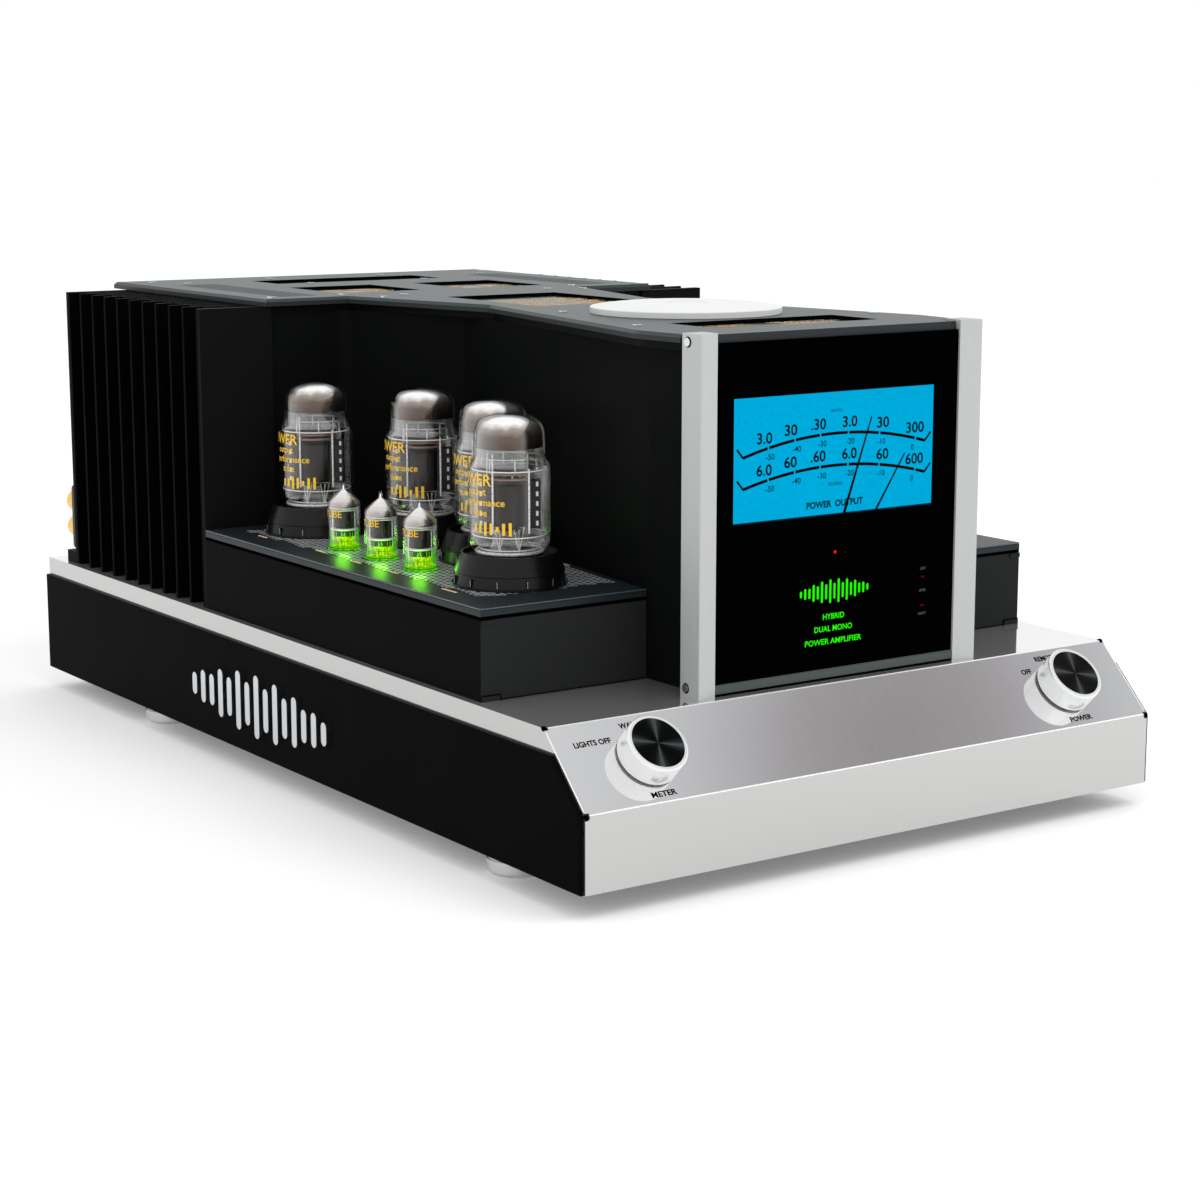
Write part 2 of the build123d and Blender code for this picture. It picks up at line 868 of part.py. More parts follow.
with BuildPart() as meter_movements:
    pivots = [(pivot_x, lower_pivot), (pivot_x, upper_pivot)]
    with Locations(*[(x, back(movement_front), z) for x, z in pivots]):
        Box(
            movement_size[0],
            movement_depth,
            movement_size[1],
            align=(Align.CENTER, Align.MIN, Align.CENTER),
        )
    bracket_low = lower_pivot + movement_size[1] / 2
    with Locations((pivot_x, back(movement_front + movement_depth), bracket_low)):
        Box(
            movement_size[0],
            8,
            upper_pivot - lower_pivot - movement_size[1],
            align=(Align.CENTER, Align.MAX, Align.MIN),
        )
    with Locations((pivot_x, back(movement_front), upper_pivot + movement_size[1] / 2)):
        Box(movement_size[0], 4, 16, align=(Align.CENTER, Align.MIN, Align.MIN))
    with BuildSketch(Plane.XZ.offset(-back(movement_front))):
        with Locations(*pivots):
            Circle(spindle_bore)
    extrude(amount=-14, mode=Mode.SUBTRACT)
save(meter_movements.part, "meter_movements")


def needle(pivot, length, rest, distance):
    """A tapering pointer with a weighted tail, on a spindle that runs back into the movement."""
    tilt = radians(rest)

    def along(distance_out, offset_across):
        return (
            pivot_x + distance_out * sin(tilt) + offset_across * cos(tilt),
            pivot + distance_out * cos(tilt) - offset_across * sin(tilt),
        )

    with BuildPart() as pointer:
        with BuildSketch(Plane.XZ.offset(-back(distance + needle_thickness))):
            with Locations((pivot_x, pivot)):
                Circle(3)
            with BuildLine():
                Polyline(
                    along(-tail_length, -root_width / 2),
                    along(0, -root_width / 2),
                    along(length, -tip_width / 2),
                    along(length, tip_width / 2),
                    along(0, root_width / 2),
                    along(-tail_length, root_width / 2),
                    close=True,
                )
            make_face()
        extrude(amount=needle_thickness)
        # The tail's weight balances the pointer, so that it stays wherever it is turned.
        pointer_moment = length**2 * (root_width + 2 * tip_width) / 6 - root_width * tail_length**2 / 2
        weight = needle_thickness * pointer_moment / (pi * weight_radius**2 * tail_length)
        with BuildSketch(Plane.XZ.offset(-back(distance + weight))):
            with Locations(along(-tail_length, 0)):
                Circle(weight_radius)
        extrude(amount=weight)
        spindle_length = movement_front + 12 - distance
        with BuildSketch(Plane.XZ.offset(-back(distance + spindle_length))):
            with Locations((pivot_x, pivot)):
                Circle(spindle)
        extrude(amount=spindle_length)
    return pointer.part


save(needle(lower_pivot, lower_length, lower_rest, lower_front), "needle_lower")
save(needle(upper_pivot, upper_length, upper_rest, upper_front), "needle_upper")

# ---------------------------------------------------------------- control knobs

shaft_radius = 3
shaft_fit = 3.02
shaft_bore = 3.05
switch_radius = 12
switch_depth = 14
recess_depth = 1
recess_radius = knob_radius - 2.7
cap_thickness = 0.7
knob_top = knob_gap + knob_length

for side, name in ((-1, "meter"), (1, "power")):
    place = slope_plane(side * knob_x)
    with BuildPart() as knob:
        with BuildSketch(place.offset(knob_gap)):
            Circle(knob_radius)
        extrude(amount=knob_length)
        outer_edges = knob.edges().filter_by(GeomType.CIRCLE).sort_by(Axis(place.origin, place.z_dir))
        fillet(outer_edges[-1], knob_edge)
        chamfer(outer_edges[0], 0.4)
        with BuildSketch(place.offset(knob_top - recess_depth)):
            Circle(recess_radius)
        extrude(amount=recess_depth, mode=Mode.SUBTRACT)
        with BuildSketch(place.offset(knob_gap)):
            Circle(shaft_fit)
        extrude(amount=11, mode=Mode.SUBTRACT)
    save(knob.part, f"{name}_knob")
    with BuildPart() as cap:
        with BuildSketch(place.offset(knob_top - recess_depth)):
            Circle(recess_radius)
        extrude(amount=cap_thickness)
    save(cap.part, f"{name}_knob_cap")
    with BuildPart() as shaft:
        with BuildSketch(place.offset(-sheet - switch_depth + 2)):
            Circle(shaft_radius)
        extrude(amount=sheet + switch_depth - 2 + knob_gap + 10)
    save(shaft.part, f"{name}_switch_shaft")

with BuildPart() as rotary_switches:
    for side in (-1, 1):
        place = slope_plane(side * knob_x)
        with BuildSketch(place.offset(-sheet)):
            Circle(switch_radius)
        extrude(amount=-switch_depth)
        with BuildSketch(place.offset(-sheet)):
            Circle(bushing_radius)
        extrude(amount=sheet + knob_gap - 0.5)
        with BuildSketch(place.offset(knob_gap - 0.5)):
            Circle(shaft_bore)
        extrude(amount=-(knob_gap - 0.5 + sheet + switch_depth - 1), mode=Mode.SUBTRACT)
save(rotary_switches.part, "rotary_switches")

# ---------------------------------------------------------------- rear connections

block_thickness = 4
block_middle = (200, top_z + 36.5)
flange_thickness = 1.5
nut_radius = 9
nut_length = 11
nut_gap = 5
nut_bore = 3.05
block_back = panel_back + block_thickness
nut_front = block_back + flange_thickness + nut_gap

with BuildPart() as terminal_blocks:
    with BuildSketch(Plane.XZ.offset(-back(block_back))):
        for side in (-1, 1):
            with Locations((side * block_middle[0], block_middle[1])):
                RectangleRounded(34, 50, 3)
            with Locations(*[(side * post_x, z) for z in post_heights]):
                Circle(post_stud, mode=Mode.SUBTRACT)
    extrude(amount=block_thickness)
save(terminal_blocks.part, "terminal_blocks")

with BuildPart() as binding_posts:
    posts = [(side * post_x, z) for side in (-1, 1) for z in post_heights]
    with BuildSketch(Plane.XZ.offset(-back(nut_front + nut_length))):
        with Locations(*posts):
            Circle(post_stud)
    extrude(amount=nut_length + nut_gap + flange_thickness + block_thickness)
    with BuildSketch(Plane.XZ.offset(-back(block_back + flange_thickness))):
        with Locations(*posts):
            Circle(nut_radius - 0.5)
    extrude(amount=flange_thickness)
save(binding_posts.part, "binding_posts")

for side, side_name in ((-1, "left"), (1, "right")):
    for z, height_name in zip(post_heights, ("low", "high")):
        with BuildPart() as nut:
            with BuildSketch(Plane.XZ.offset(-back(nut_front + nut_length))):
                with Locations((side * post_x, z)):
                    Circle(nut_radius)
                    with PolarLocations(nut_radius + 0.6, 18):
                        Circle(1, mode=Mode.SUBTRACT)
                    Circle(nut_bore, mode=Mode.SUBTRACT)
            extrude(amount=nut_length)
        save(nut.part, f"post_nut_{side_name}_{height_name}")

inlet_flange = (50, 24)
cavity_size = (24.4, 16.4)
cavity_depth = 17
with BuildPart() as power_inlet:
    with BuildSketch(Plane.XZ.offset(-back(panel_back + 2))):
        with Locations((0, inlet_height)):
            RectangleRounded(*inlet_flange, 3)
    extrude(amount=2)
    with BuildSketch(Plane.XZ.offset(-back(panel_back))):
        with Locations((0, inlet_height)):
            Rectangle(inlet_size[0] - 0.4, inlet_size[1] - 0.4)
    extrude(amount=20)
    with BuildSketch(Plane.XZ.offset(-back(panel_back + 2))):
        with Locations((0, inlet_height)):
            Rectangle(*cavity_size)
    extrude(amount=cavity_depth, mode=Mode.SUBTRACT)
    with BuildSketch(Plane.XZ.offset(-back(panel_back + 2 - 3))):
        with Locations((-7, inlet_height - 1.5), (7, inlet_height - 1.5), (0, inlet_height + 2.5)):
            Rectangle(2, 4)
    extrude(amount=cavity_depth - 3 + 1)
save(power_inlet.part, "power_inlet")

with BuildPart() as input_sockets:
    with BuildSketch(Plane.XZ.offset(-back(panel_back + 2))):
        with Locations((-xlr_x, xlr_height), (xlr_x, xlr_height)):
            RectangleRounded(26, 31, 2)
        with Locations((-rca_x, xlr_height), (rca_x, xlr_height)):
            Circle(6.5)
    extrude(amount=2)
    with BuildSketch(Plane.XZ.offset(-back(panel_back))):
        with Locations((-xlr_x, xlr_height), (xlr_x, xlr_height)):
            Circle(xlr_radius - 0.1)
        with Locations((-rca_x, xlr_height), (rca_x, xlr_height)):
            Circle(rca_radius - 0.1)
    extrude(amount=18)
    with BuildSketch(Plane.XZ.offset(-back(panel_back + 10))):
        with Locations((-rca_x, xlr_height), (rca_x, xlr_height)):
            Circle(4.15)
    extrude(amount=8)
    with BuildSketch(Plane.XZ.offset(-back(panel_back + 10))):
        with Locations((-rca_x, xlr_height), (rca_x, xlr_height)):
            Circle(1.65)
    extrude(amount=16, mode=Mode.SUBTRACT)
    with BuildSketch(Plane.XZ.offset(-back(panel_back + 2))):
        with Locations((-xlr_x, xlr_height), (xlr_x, xlr_height)):
            with PolarLocations(5, 3, start_angle=90):
                Circle(1.4)
    extrude(amount=12, mode=Mode.SUBTRACT)
save(input_sockets.part, "input_sockets")

# ---------------------------------------------------------------- inside the body

toroid_radius = 70
toroid_height = 76
with BuildPart() as power_transformer:
    with Locations((0, back(disc_y), top_z)):
        Cylinder(toroid_radius, toroid_height, align=(Align.CENTER, Align.CENTER, Align.MIN))
    fillet(power_transformer.edges().filter_by(GeomType.CIRCLE), 16)
    with Locations((0, back(disc_y), top_z)):
        Cylinder(22, toroid_height, align=(Align.CENTER, Align.CENTER, Align.MIN), mode=Mode.SUBTRACT)
    with Locations((0, back(disc_y), top_z)):
        Cylinder(26, toroid_height + 3, align=(Align.CENTER, Align.CENTER, Align.MIN))
save(power_transformer.part, "power_transformer")

with BuildPart() as output_transformers:
    for x in (-70, 70):
        with Locations((x, back(550), top_z)):
            Box(84, 46, 98, align=(Align.CENTER, Align.CENTER, Align.MIN))
        with Locations((x, back(550), top_z + 16)):
            Box(54, 84, 66, align=(Align.CENTER, Align.CENTER, Align.MIN))
save(output_transformers.part, "output_transformers")

capacitor_radius = 17.5
with BuildPart() as filter_capacitors:
    with Locations((0, back(650), top_z)):
        with GridLocations(42, 38, 4, 2):
            Cylinder(capacitor_radius, 90, align=(Align.CENTER, Align.CENTER, Align.MIN))
    fillet(filter_capacitors.edges().filter_by(GeomType.CIRCLE), 1.5)
save(filter_capacitors.part, "filter_capacitors")

board_z = base_z + sheet + 24
board_middle = back(400)
with BuildPart() as circuit_boards:
    with Locations((0, board_middle, board_z)):
        Box(340, 420, 1.6, align=(Align.CENTER, Align.CENTER, Align.MIN))
        with GridLocations(320, 400, 2, 2):
            Cylinder(4, board_z - base_z - sheet, align=(Align.CENTER, Align.CENTER, Align.MAX))
        with GridLocations(80, 80, 4, 5):
            Box(26, 34, 16, align=(Align.CENTER, Align.CENTER, Align.MIN))
save(circuit_boards.part, "circuit_boards")
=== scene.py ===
import math
import random

import bpy
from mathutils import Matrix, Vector


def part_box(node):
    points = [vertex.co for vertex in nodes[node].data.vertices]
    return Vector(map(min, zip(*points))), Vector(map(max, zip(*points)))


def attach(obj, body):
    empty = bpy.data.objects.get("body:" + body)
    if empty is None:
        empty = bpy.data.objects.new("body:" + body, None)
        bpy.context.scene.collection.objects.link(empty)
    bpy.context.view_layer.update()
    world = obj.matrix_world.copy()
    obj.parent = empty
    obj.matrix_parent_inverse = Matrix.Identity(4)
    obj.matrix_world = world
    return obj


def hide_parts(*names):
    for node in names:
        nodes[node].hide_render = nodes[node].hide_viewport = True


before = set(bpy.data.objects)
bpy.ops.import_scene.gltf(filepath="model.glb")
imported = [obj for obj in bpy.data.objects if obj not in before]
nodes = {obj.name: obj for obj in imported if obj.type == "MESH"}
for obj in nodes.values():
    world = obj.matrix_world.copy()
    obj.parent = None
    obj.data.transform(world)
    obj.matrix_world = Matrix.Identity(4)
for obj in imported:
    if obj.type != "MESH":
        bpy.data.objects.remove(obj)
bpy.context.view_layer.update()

MM = 0.001
ROOT = "amplifier"
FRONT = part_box("chassis_shell")[0].y
CHASSIS_BASE = 15  # mm from the floor to the chassis's underside


def back(distance):
    """The y of a point this many millimetres behind the chassis's front face."""
    return FRONT + distance * MM


# ------------------------------------------------------------------ materials


def new_material(name, color, metallic=0.0, rough=0.5):
    """A material with its node tree and shader, the shader's plain values set."""
    made = bpy.data.materials.new(name)
    made.use_nodes = True
    shader = made.node_tree.nodes["Principled BSDF"]
    shader.inputs["Base Color"].default_value = (*color, 1.0)
    shader.inputs["Metallic"].default_value = metallic
    shader.inputs["Roughness"].default_value = rough
    return made, made.node_tree, shader


def object_noise(tree, scale, stretch=(1, 1, 1), detail=4.0):
    """Noise in the piece's own coordinates. A small stretch value draws the grain out along that axis."""
    place = tree.nodes.new("ShaderNodeTexCoord")
    mapping = tree.nodes.new("ShaderNodeMapping")
    mapping.inputs["Scale"].default_value = stretch
    tree.links.new(place.outputs["Object"], mapping.inputs["Vector"])
    noise = tree.nodes.new("ShaderNodeTexNoise")
    noise.inputs["Scale"].default_value = scale
    noise.inputs["Detail"].default_value = detail
    tree.links.new(mapping.outputs["Vector"], noise.inputs["Vector"])
    return noise.outputs["Fac"]


def ranged(tree, value, low, high, start=0.3, end=0.7):
    """The value from start to end, mapped to the range from low to high."""
    node = tree.nodes.new("ShaderNodeMapRange")
    for name, number in (("From Min", start), ("From Max", end), ("To Min", low), ("To Max", high)):
        node.inputs[name].default_value = number
    tree.links.new(value, node.inputs["Value"])
    return node.outputs["Result"]


def ramp(tree, value, stops):
    """The colour of a value between 0 and 1, from a list of (value, colour)."""
    node = tree.nodes.new("ShaderNodeValToRGB")
    tree.links.new(value, node.inputs["Fac"])
    points = node.color_ramp.elements
    while len(points) < len(stops):
        points.new(0.5)
    for point, (place, color) in zip(points, stops):
        point.position = place
        point.color = (*color, 1.0)
    return node.outputs["Color"]


def mixed(tree, factor, first, second):
    """A colour that goes from the first, which varies, to the second, which doesn't."""
    node = tree.nodes.new("ShaderNodeMix")
    node.data_type = "RGBA"
    tree.links.new(factor, node.inputs["Factor"])
    tree.links.new(first, node.inputs["A"])
    node.inputs["B"].default_value = (*second, 1.0)
    return node.outputs["Result"]


def roughen(tree, shader, height, strength, distance=0.0002):
    """Raises the surface finely by this height."""
    node = tree.nodes.new("ShaderNodeBump")
    node.inputs["Strength"].default_value = strength
    node.inputs["Distance"].default_value = distance
    tree.links.new(height, node.inputs["Height"])
    tree.links.new(node.outputs["Normal"], shader.inputs["Normal"])


def by_geometry(tree, output, axis):
    """One axis of the surface's normal or place."""
    geometry = tree.nodes.new("ShaderNodeNewGeometry")
    split = tree.nodes.new("ShaderNodeSeparateXYZ")
    tree.links.new(geometry.outputs[output], split.inputs["Vector"])
    return split.outputs[axis]


def by_normal(tree, axis, stops):
    """Colours that depend on which way the surface faces along one axis."""
    return ramp(tree, ranged(tree, by_geometry(tree, "Normal", axis), 0.0, 1.0, -1.0, 1.0), stops)


def calculated(tree, operation, value, number=None, added=None):
    """One Math node."""
    node = tree.nodes.new("ShaderNodeMath")
    node.operation = operation
    tree.links.new(value, node.inputs[0])
    if number is not None:
        node.inputs[1].default_value = number
    if added:
        tree.links.new(added, node.inputs[2])
    return node.outputs[0]


def finish(name, color, metallic=0.0, rough=0.4, scale=300, stretch=(1, 1, 1), vary=0.12, spread=0.08,
           bump=0.05, specular=0.5):
    """A painted, moulded or metal finish whose colour, gloss and surface vary finely."""
    made, tree, shader = new_material(name, color, metallic, rough)
    shader.inputs["Specular IOR Level"].default_value = specular
    grain = object_noise(tree, scale, stretch)
    dark = tuple(c * (1 - vary) for c in color)
    light = tuple(min(1.0, c * (1 + vary)) for c in color)
    tree.links.new(ramp(tree, grain, [(0.3, dark), (0.7, light)]), shader.inputs["Base Color"])
    tree.links.new(
        ranged(tree, grain, max(0.0, rough - spread), min(1.0, rough + spread)), shader.inputs["Roughness"]
    )
    if bump:
        roughen(tree, shader, grain, bump)
    return made


def lit(name, color, strength, vary=0.06, scale=60, front_only=False):
    """A surface that gives light, a little uneven as a lit diffuser is."""
    made, tree, shader = new_material(name, tuple(c * 0.02 for c in color), 0.0, 0.5)
    shader.inputs["Specular IOR Level"].default_value = 0.0
    shader.inputs["Emission Strength"].default_value = strength
    glow = object_noise(tree, scale, detail=1.0)
    dark = tuple(c * (1 - vary) for c in color)
    shade = ramp(tree, glow, [(0.3, dark), (0.7, color)])
    if front_only:
        elsewhere = by_normal(tree, "Y", [(0.1, (0, 0, 0)), (0.2, (1, 1, 1))])
        shade = mixed(tree, elsewhere, shade, (0.0, 0.0, 0.0))
    tree.links.new(shade, shader.inputs["Emission Color"])
    return made


def clear_glass(name, centre=0.02, edge=0.75, blend=0.3, tint=(1, 1, 1), rough=0.02):
    """Thin glass: see-through where it faces the eye, and mirror-like towards its outline."""
    made, tree, shader = new_material(name, tint, 1.0, rough)
    facing = tree.nodes.new("ShaderNodeLayerWeight")
    facing.inputs["Blend"].default_value = blend
    tree.links.new(ranged(tree, facing.outputs["Facing"], centre, edge, 0.0, 1.0), shader.inputs["Alpha"])
    streak = object_noise(tree, 90, (1, 1, 0.2), 2.0)
    tree.links.new(ranged(tree, streak, rough * 0.5, rough * 2 + 0.02), shader.inputs["Roughness"])
    return made


def height_paint_with_highlight(name, stops, low, high, metallic, rough):
    """A metal finish whose colour changes between two heights above the piece's own origin; on the getters
    it runs from brown low down to nearly white at the top, a painted highlight.
    """
    made, tree, shader = new_material(name, stops[0][1], metallic, rough)
    place = tree.nodes.new("ShaderNodeTexCoord")
    split = tree.nodes.new("ShaderNodeSeparateXYZ")
    tree.links.new(place.outputs["Object"], split.inputs["Vector"])
    level = ranged(tree, split.outputs["Z"], 0.0, 1.0, low, high)
    wander = 0.25
    uneven = calculated(tree, "MULTIPLY_ADD", object_noise(tree, 220), wander, level)
    centred = calculated(tree, "SUBTRACT", uneven, wander / 2)
    tree.links.new(ramp(tree, centred, stops), shader.inputs["Base Color"])
    return made


def shaded_bent_steel():
    """Polished sheet steel: a mirror on the sloping panel, hazier on level and upright faces, with painted
    light and shade in its colour, darker on upright faces and lighter on the slope and level faces.
    """
    made, tree, shader = new_material("polished_steel", (0.6, 0.59, 0.585), 1.0, 0.08)
    # Painted light and shade: upright faces darker, sloping and level faces lighter, by which way each face
    # turns
    upright, sloping, level = (0.535, 0.53, 0.525), (0.94, 0.935, 0.94), (0.86, 0.86, 0.865)
    tint = by_normal(tree, "Z", [(0.60, upright), (0.75, sloping), (0.92, sloping), (0.97, level)])
    tree.links.new(tint, shader.inputs["Base Color"])
    amounts = ((0.60, 0.87), (0.75, 1.0), (0.92, 1.0), (0.97, 0.86))
    haze = by_normal(tree, "Z", [(place, (amount, amount, amount)) for place, amount in amounts])
    tree.links.new(haze, shader.inputs["Metallic"])
    grain = object_noise(tree, 900, (1, 0.05, 0.05))
    tree.links.new(ranged(tree, grain, 0.05, 0.09), shader.inputs["Roughness"])
    return made


def paint_shaded_by_facing(name, side, front, rough, level=None, metallic=0.0, specular=0.006):
    """Paint with painted light and shade: one colour where it faces the side, another where it faces the
    front, and a third where it faces straight up.
    """
    made, tree, shader = new_material(name, side, metallic, rough)
    shader.inputs["Specular IOR Level"].default_value = specular
    # Painted light and shade: the front and the sides take different colours by how light falls on them
    shade = by_normal(tree, "Y", [(0.1, front), (0.4, side)])
    if level:
        # Painted light: faces that turn straight up take the level colour
        lit_top_mask = by_normal(tree, "Z", [(0.75, (0, 0, 0)), (0.9, (1, 1, 1))])
        shade = mixed(tree, lit_top_mask, shade, level)
    tree.links.new(shade, shader.inputs["Base Color"])
    grain = object_noise(tree, 1400)
    tree.links.new(ranged(tree, grain, rough - 0.06, rough + 0.06), shader.inputs["Roughness"])
    roughen(tree, shader, grain, 0.10)
    return made


GOLD_TINT = (0.85, 0.56, 0.14)
SOCKET_SPLIT = 91 * MM  # between the balanced sockets and the line sockets, from the middle


def socket_metal():
    """Dark nickel on the balanced sockets near the middle, gold on the line sockets outside them."""
    made, tree, shader = new_material("socket_metal", GOLD_TINT, 1.0, 0.25)
    outwards = calculated(tree, "ABSOLUTE", by_geometry(tree, "Position", "X"))
    place = ranged(tree, outwards, 0.0, 1.0, SOCKET_SPLIT - 1 * MM, SOCKET_SPLIT + 1 * MM)
    tint = ramp(tree, place, [(0.45, (0.16, 0.16, 0.17)), (0.55, GOLD_TINT)])
    tree.links.new(tint, shader.inputs["Base Color"])
    grain = object_noise(tree, 500)
    tree.links.new(ranged(tree, grain, 0.2, 0.32), shader.inputs["Roughness"])
    return made


SOCKETS = socket_metal()
SHADED_STEEL = shaded_bent_steel()
BASE = finish("base_coat", (0.02, 0.02, 0.022), 0.0, 0.5, 900, bump=0.15)
SIDE_GLASS = finish(
    "side_glass", (0.0032, 0.0032, 0.0034), 0.0, 0.12, 25, vary=0.1, spread=0.03, bump=0.0, specular=0.004
)
BADGE = finish("badge_metal", (0.62, 0.64, 0.66), 1.0, 0.18, 500, (1, 1, 8), 0.06, 0.05, 0.02)
FOOT = finish("foot_grey", (0.62, 0.62, 0.62), 0.9, 0.35, 300, (1, 1, 12), 0.06, 0.06, 0.03)
# The deck boxes: painted light on their fronts, much lighter than their sides, and painted shade on their
# sides
DECK_SHADED_PAINT = paint_shaded_by_facing("deck_paint_shaded", (0.0042, 0.0042, 0.0043), (0.0205, 0.0216, 0.0213), 0.42)
DECK_TOP = finish(
    "deck_slate", (0.020, 0.026, 0.029), 0.25, 0.38, 1600, vary=0.10, spread=0.05, bump=0.10, specular=0.15
)
# The top plate: painted light on its top face, with its front and sides darker as painted shade
SLATE_SHADED = paint_shaded_by_facing(
    "slate_anodised_shaded", (0.026, 0.031, 0.033), (0.024, 0.028, 0.031), 0.4, (0.047, 0.061, 0.065), 0.3, 0.17
)
COLLAR = finish(
    "collar_black", (0.003, 0.003, 0.0033), 0.0, 0.3, 900, (1, 1, 3), 0.15, 0.05, 0.05, specular=0.25
)
WALL = finish("wall_paint", (0.0046, 0.0052, 0.0050), 0.0, 0.42, 1300, bump=0.08, specular=0.012)
RIM = finish("rim_paint", (0.003, 0.003, 0.003), 0.0, 0.5, 1300, bump=0.08, specular=0.05)
END_PLATE = finish("end_plate", (0.0065, 0.0068, 0.0066), 0.0, 0.42, 1300, bump=0.08, specular=0.01)
SINK = finish(
    "sink_anodised", (0.0014, 0.0014, 0.0015), 0.0, 0.4, 500, (1, 1, 0.05), 0.3, 0.1, 0.05, specular=0.006
)
DISC = finish("disc_satin", (0.79, 0.797, 0.795), 0.33, 0.34, 60, (1, 1, 1), 0.01, 0.03, 0.0)
BRIGHT = finish("bright_metal", (0.72, 0.72, 0.73), 1.0, 0.15, 600, vary=0.05, bump=0.0)
BAR = finish("bar_anodised", (0.47, 0.485, 0.48), 0.25, 0.42, 700, (1, 1, 0.04), 0.02, 0.05, 0.02)
FRONT_GLASS = finish(
    "front_glass", (0.0003, 0.0003, 0.0003), 0.0, 0.05, 20, vary=0.1, spread=0.02, bump=0.0, specular=0.002
)
STRIP = finish("strip_grey", (0.045, 0.055, 0.056), 0.2, 0.4, 900, (0.1, 1, 1), 0.1, 0.06, 0.05)
KNOB = finish("knob_aluminium", (0.80, 0.805, 0.81), 0.5, 0.2, 200, (1, 1, 1), 0.01, 0.03, 0.0)
NEEDLE = finish("needle_black", (0.002, 0.002, 0.002), 0.0, 0.5, 800, bump=0.0, specular=0.02)
GOLD = finish("gold_plate", GOLD_TINT, 1.0, 0.2, 500, vary=0.06, bump=0.01)
GOLD_INK = finish("gold_ink", (0.95, 0.56, 0.02), 0.0, 0.45, 900, vary=0.10, bump=0.0)
PALE_GOLD = finish("pale_gold", (0.85, 0.62, 0.32), 0.0, 0.45, 900, vary=0.18, bump=0.0)
GOLD_ART = finish("gold_art", (0.80, 0.46, 0.10), 0.1, 0.4, 700, vary=0.3, bump=0.0)
BLOCK = finish("moulded_black", (0.006, 0.006, 0.006), 0.0, 0.35, 900, bump=0.06, specular=0.25)
PANE = finish(
    "dark_pane", (0.0012, 0.0012, 0.0012), 0.0, 0.1, 60, vary=0.2, spread=0.02, bump=0.0, specular=0.006
)
INK = finish("black_ink", (0.001, 0.001, 0.0012), 0.0, 0.6, 900, bump=0.0, specular=0.01)
FAINT_INK = finish("faint_ink", (0.0, 0.012, 0.03), 0.0, 0.6, 900, bump=0.0, specular=0.02)
MICA = finish("mica_white", (0.85, 0.86, 0.84), 0.0, 0.35, 700, vary=0.08, bump=0.02)
WIRE = finish("bright_wire", (0.92, 0.92, 0.90), 0.4, 0.3, 700, vary=0.05, bump=0.0)
COPPER = finish("brown_ring", (0.30, 0.20, 0.16), 0.5, 0.4, 600, vary=0.2, bump=0.03)
CORE = finish("core_varnish", (0.02, 0.02, 0.022), 0.0, 0.5, 500, bump=0.1)
CAN = finish("can_sleeve", (0.03, 0.06, 0.16), 0.0, 0.3, 500, bump=0.02)
BOARD = finish("board_green", (0.01, 0.07, 0.04), 0.0, 0.4, 400, vary=0.25, bump=0.05)
# Painted highlights on the edges of the collars' ribs
RIB_HIGHLIGHT = finish("rib_highlight_grey", (0.30, 0.31, 0.32), 0.3, 0.4, 900, bump=0.0)
# Painted highlight along the chassis's bends
SHINE = finish("bend_shine", (0.93, 0.93, 0.93), 0.3, 0.3, 900, vary=0.02, bump=0.0)
# Painted highlight along the deck plates' chamfered edges
DECK_EDGE_HIGHLIGHT = finish("deck_edge", (0.085, 0.115, 0.125), 0.3, 0.3, 900, vary=0.06, bump=0.0)
# Black for the seams, and for the painted shade lines at the deck's foot and under the trim strip
SEAM_AND_SHADE = finish("seam_and_shade_black", (0.0008, 0.0008, 0.0008), 0.0, 0.6, 900, bump=0.0, specular=0.0)
GRILLE = finish("grille_metal", (0.62, 0.65, 0.67), 0.6, 0.3, 900, vary=0.06, bump=0.02)
UNDER = finish("grille_shadow", (0.006, 0.0065, 0.007), 0.0, 0.6, 900, bump=0.0)
METER_BLUE = lit("meter_blue", (0.0, 0.402, 0.72), 1.0, 0.03, 25, front_only=True)
GREEN = lit("green_light", (0.02, 1.0, 0.0), 1.0)
RED = lit("red_light", (1.0, 0.01, 0.0), 1.6)
DIM_RED = lit("dim_red", (0.35, 0.0, 0.0), 0.6)
DIM_GREY = lit("dim_grey", (0.16, 0.16, 0.16), 0.7)
GLOW_GREEN = lit("glow_green", (0.09, 0.75, 0.0), 1.0, 0.6, 500)
GLOW_YELLOW = lit("glow_yellow", (0.62, 1.0, 0.0), 1.1, 0.75, 450)
TUBE_GLASS = clear_glass("tube_glass", 0.008, 0.60, 0.20)
STEM_GLASS = clear_glass("stem_glass", 0.10, 0.8, 0.35, (0.8, 0.82, 0.8), 0.1)
FROST = clear_glass("frosted_shoulder", 0.22, 0.75, 0.4, (0.75, 0.76, 0.76), 0.2)
METER_PANE = clear_glass("meter_pane", 0.0, 0.01, 0.05)
# The getter's mirror: brown and darker low down, nearly white at the top, where the white is a painted
# highlight
GETTER_WITH_HIGHLIGHT = height_paint_with_highlight(
    "getter_mirror_painted_highlight",
    [
        (0.0, (0.075, 0.047, 0.035)), (0.4, (0.14, 0.105, 0.085)),
        (0.62, (0.34, 0.30, 0.27)), (0.8, (0.98, 0.98, 0.97)),
    ],
    85 * MM, 105 * MM, 0.9, 0.2,
)
# The small tubes' silvered tips: brown low down, nearly white at the top, where the white is a painted
# highlight
DRIVER_GETTER_WITH_HIGHLIGHT = height_paint_with_highlight(
    "driver_getter_painted_highlight",
    [(0.0, (0.22, 0.17, 0.14)), (0.4, (0.60, 0.57, 0.54)), (1.0, (0.95, 0.95, 0.95))],
    27 * MM, 41 * MM, 0.9, 0.25,
)
ANODE = finish("anode_grey", (0.026, 0.0205, 0.018), 0.6, 0.42, 300, (1, 1, 0.15), 0.2, 0.08, 0.05)
WING = finish("wing_dark", (0.012, 0.011, 0.011), 0.2, 0.5, 400, bump=0.05)


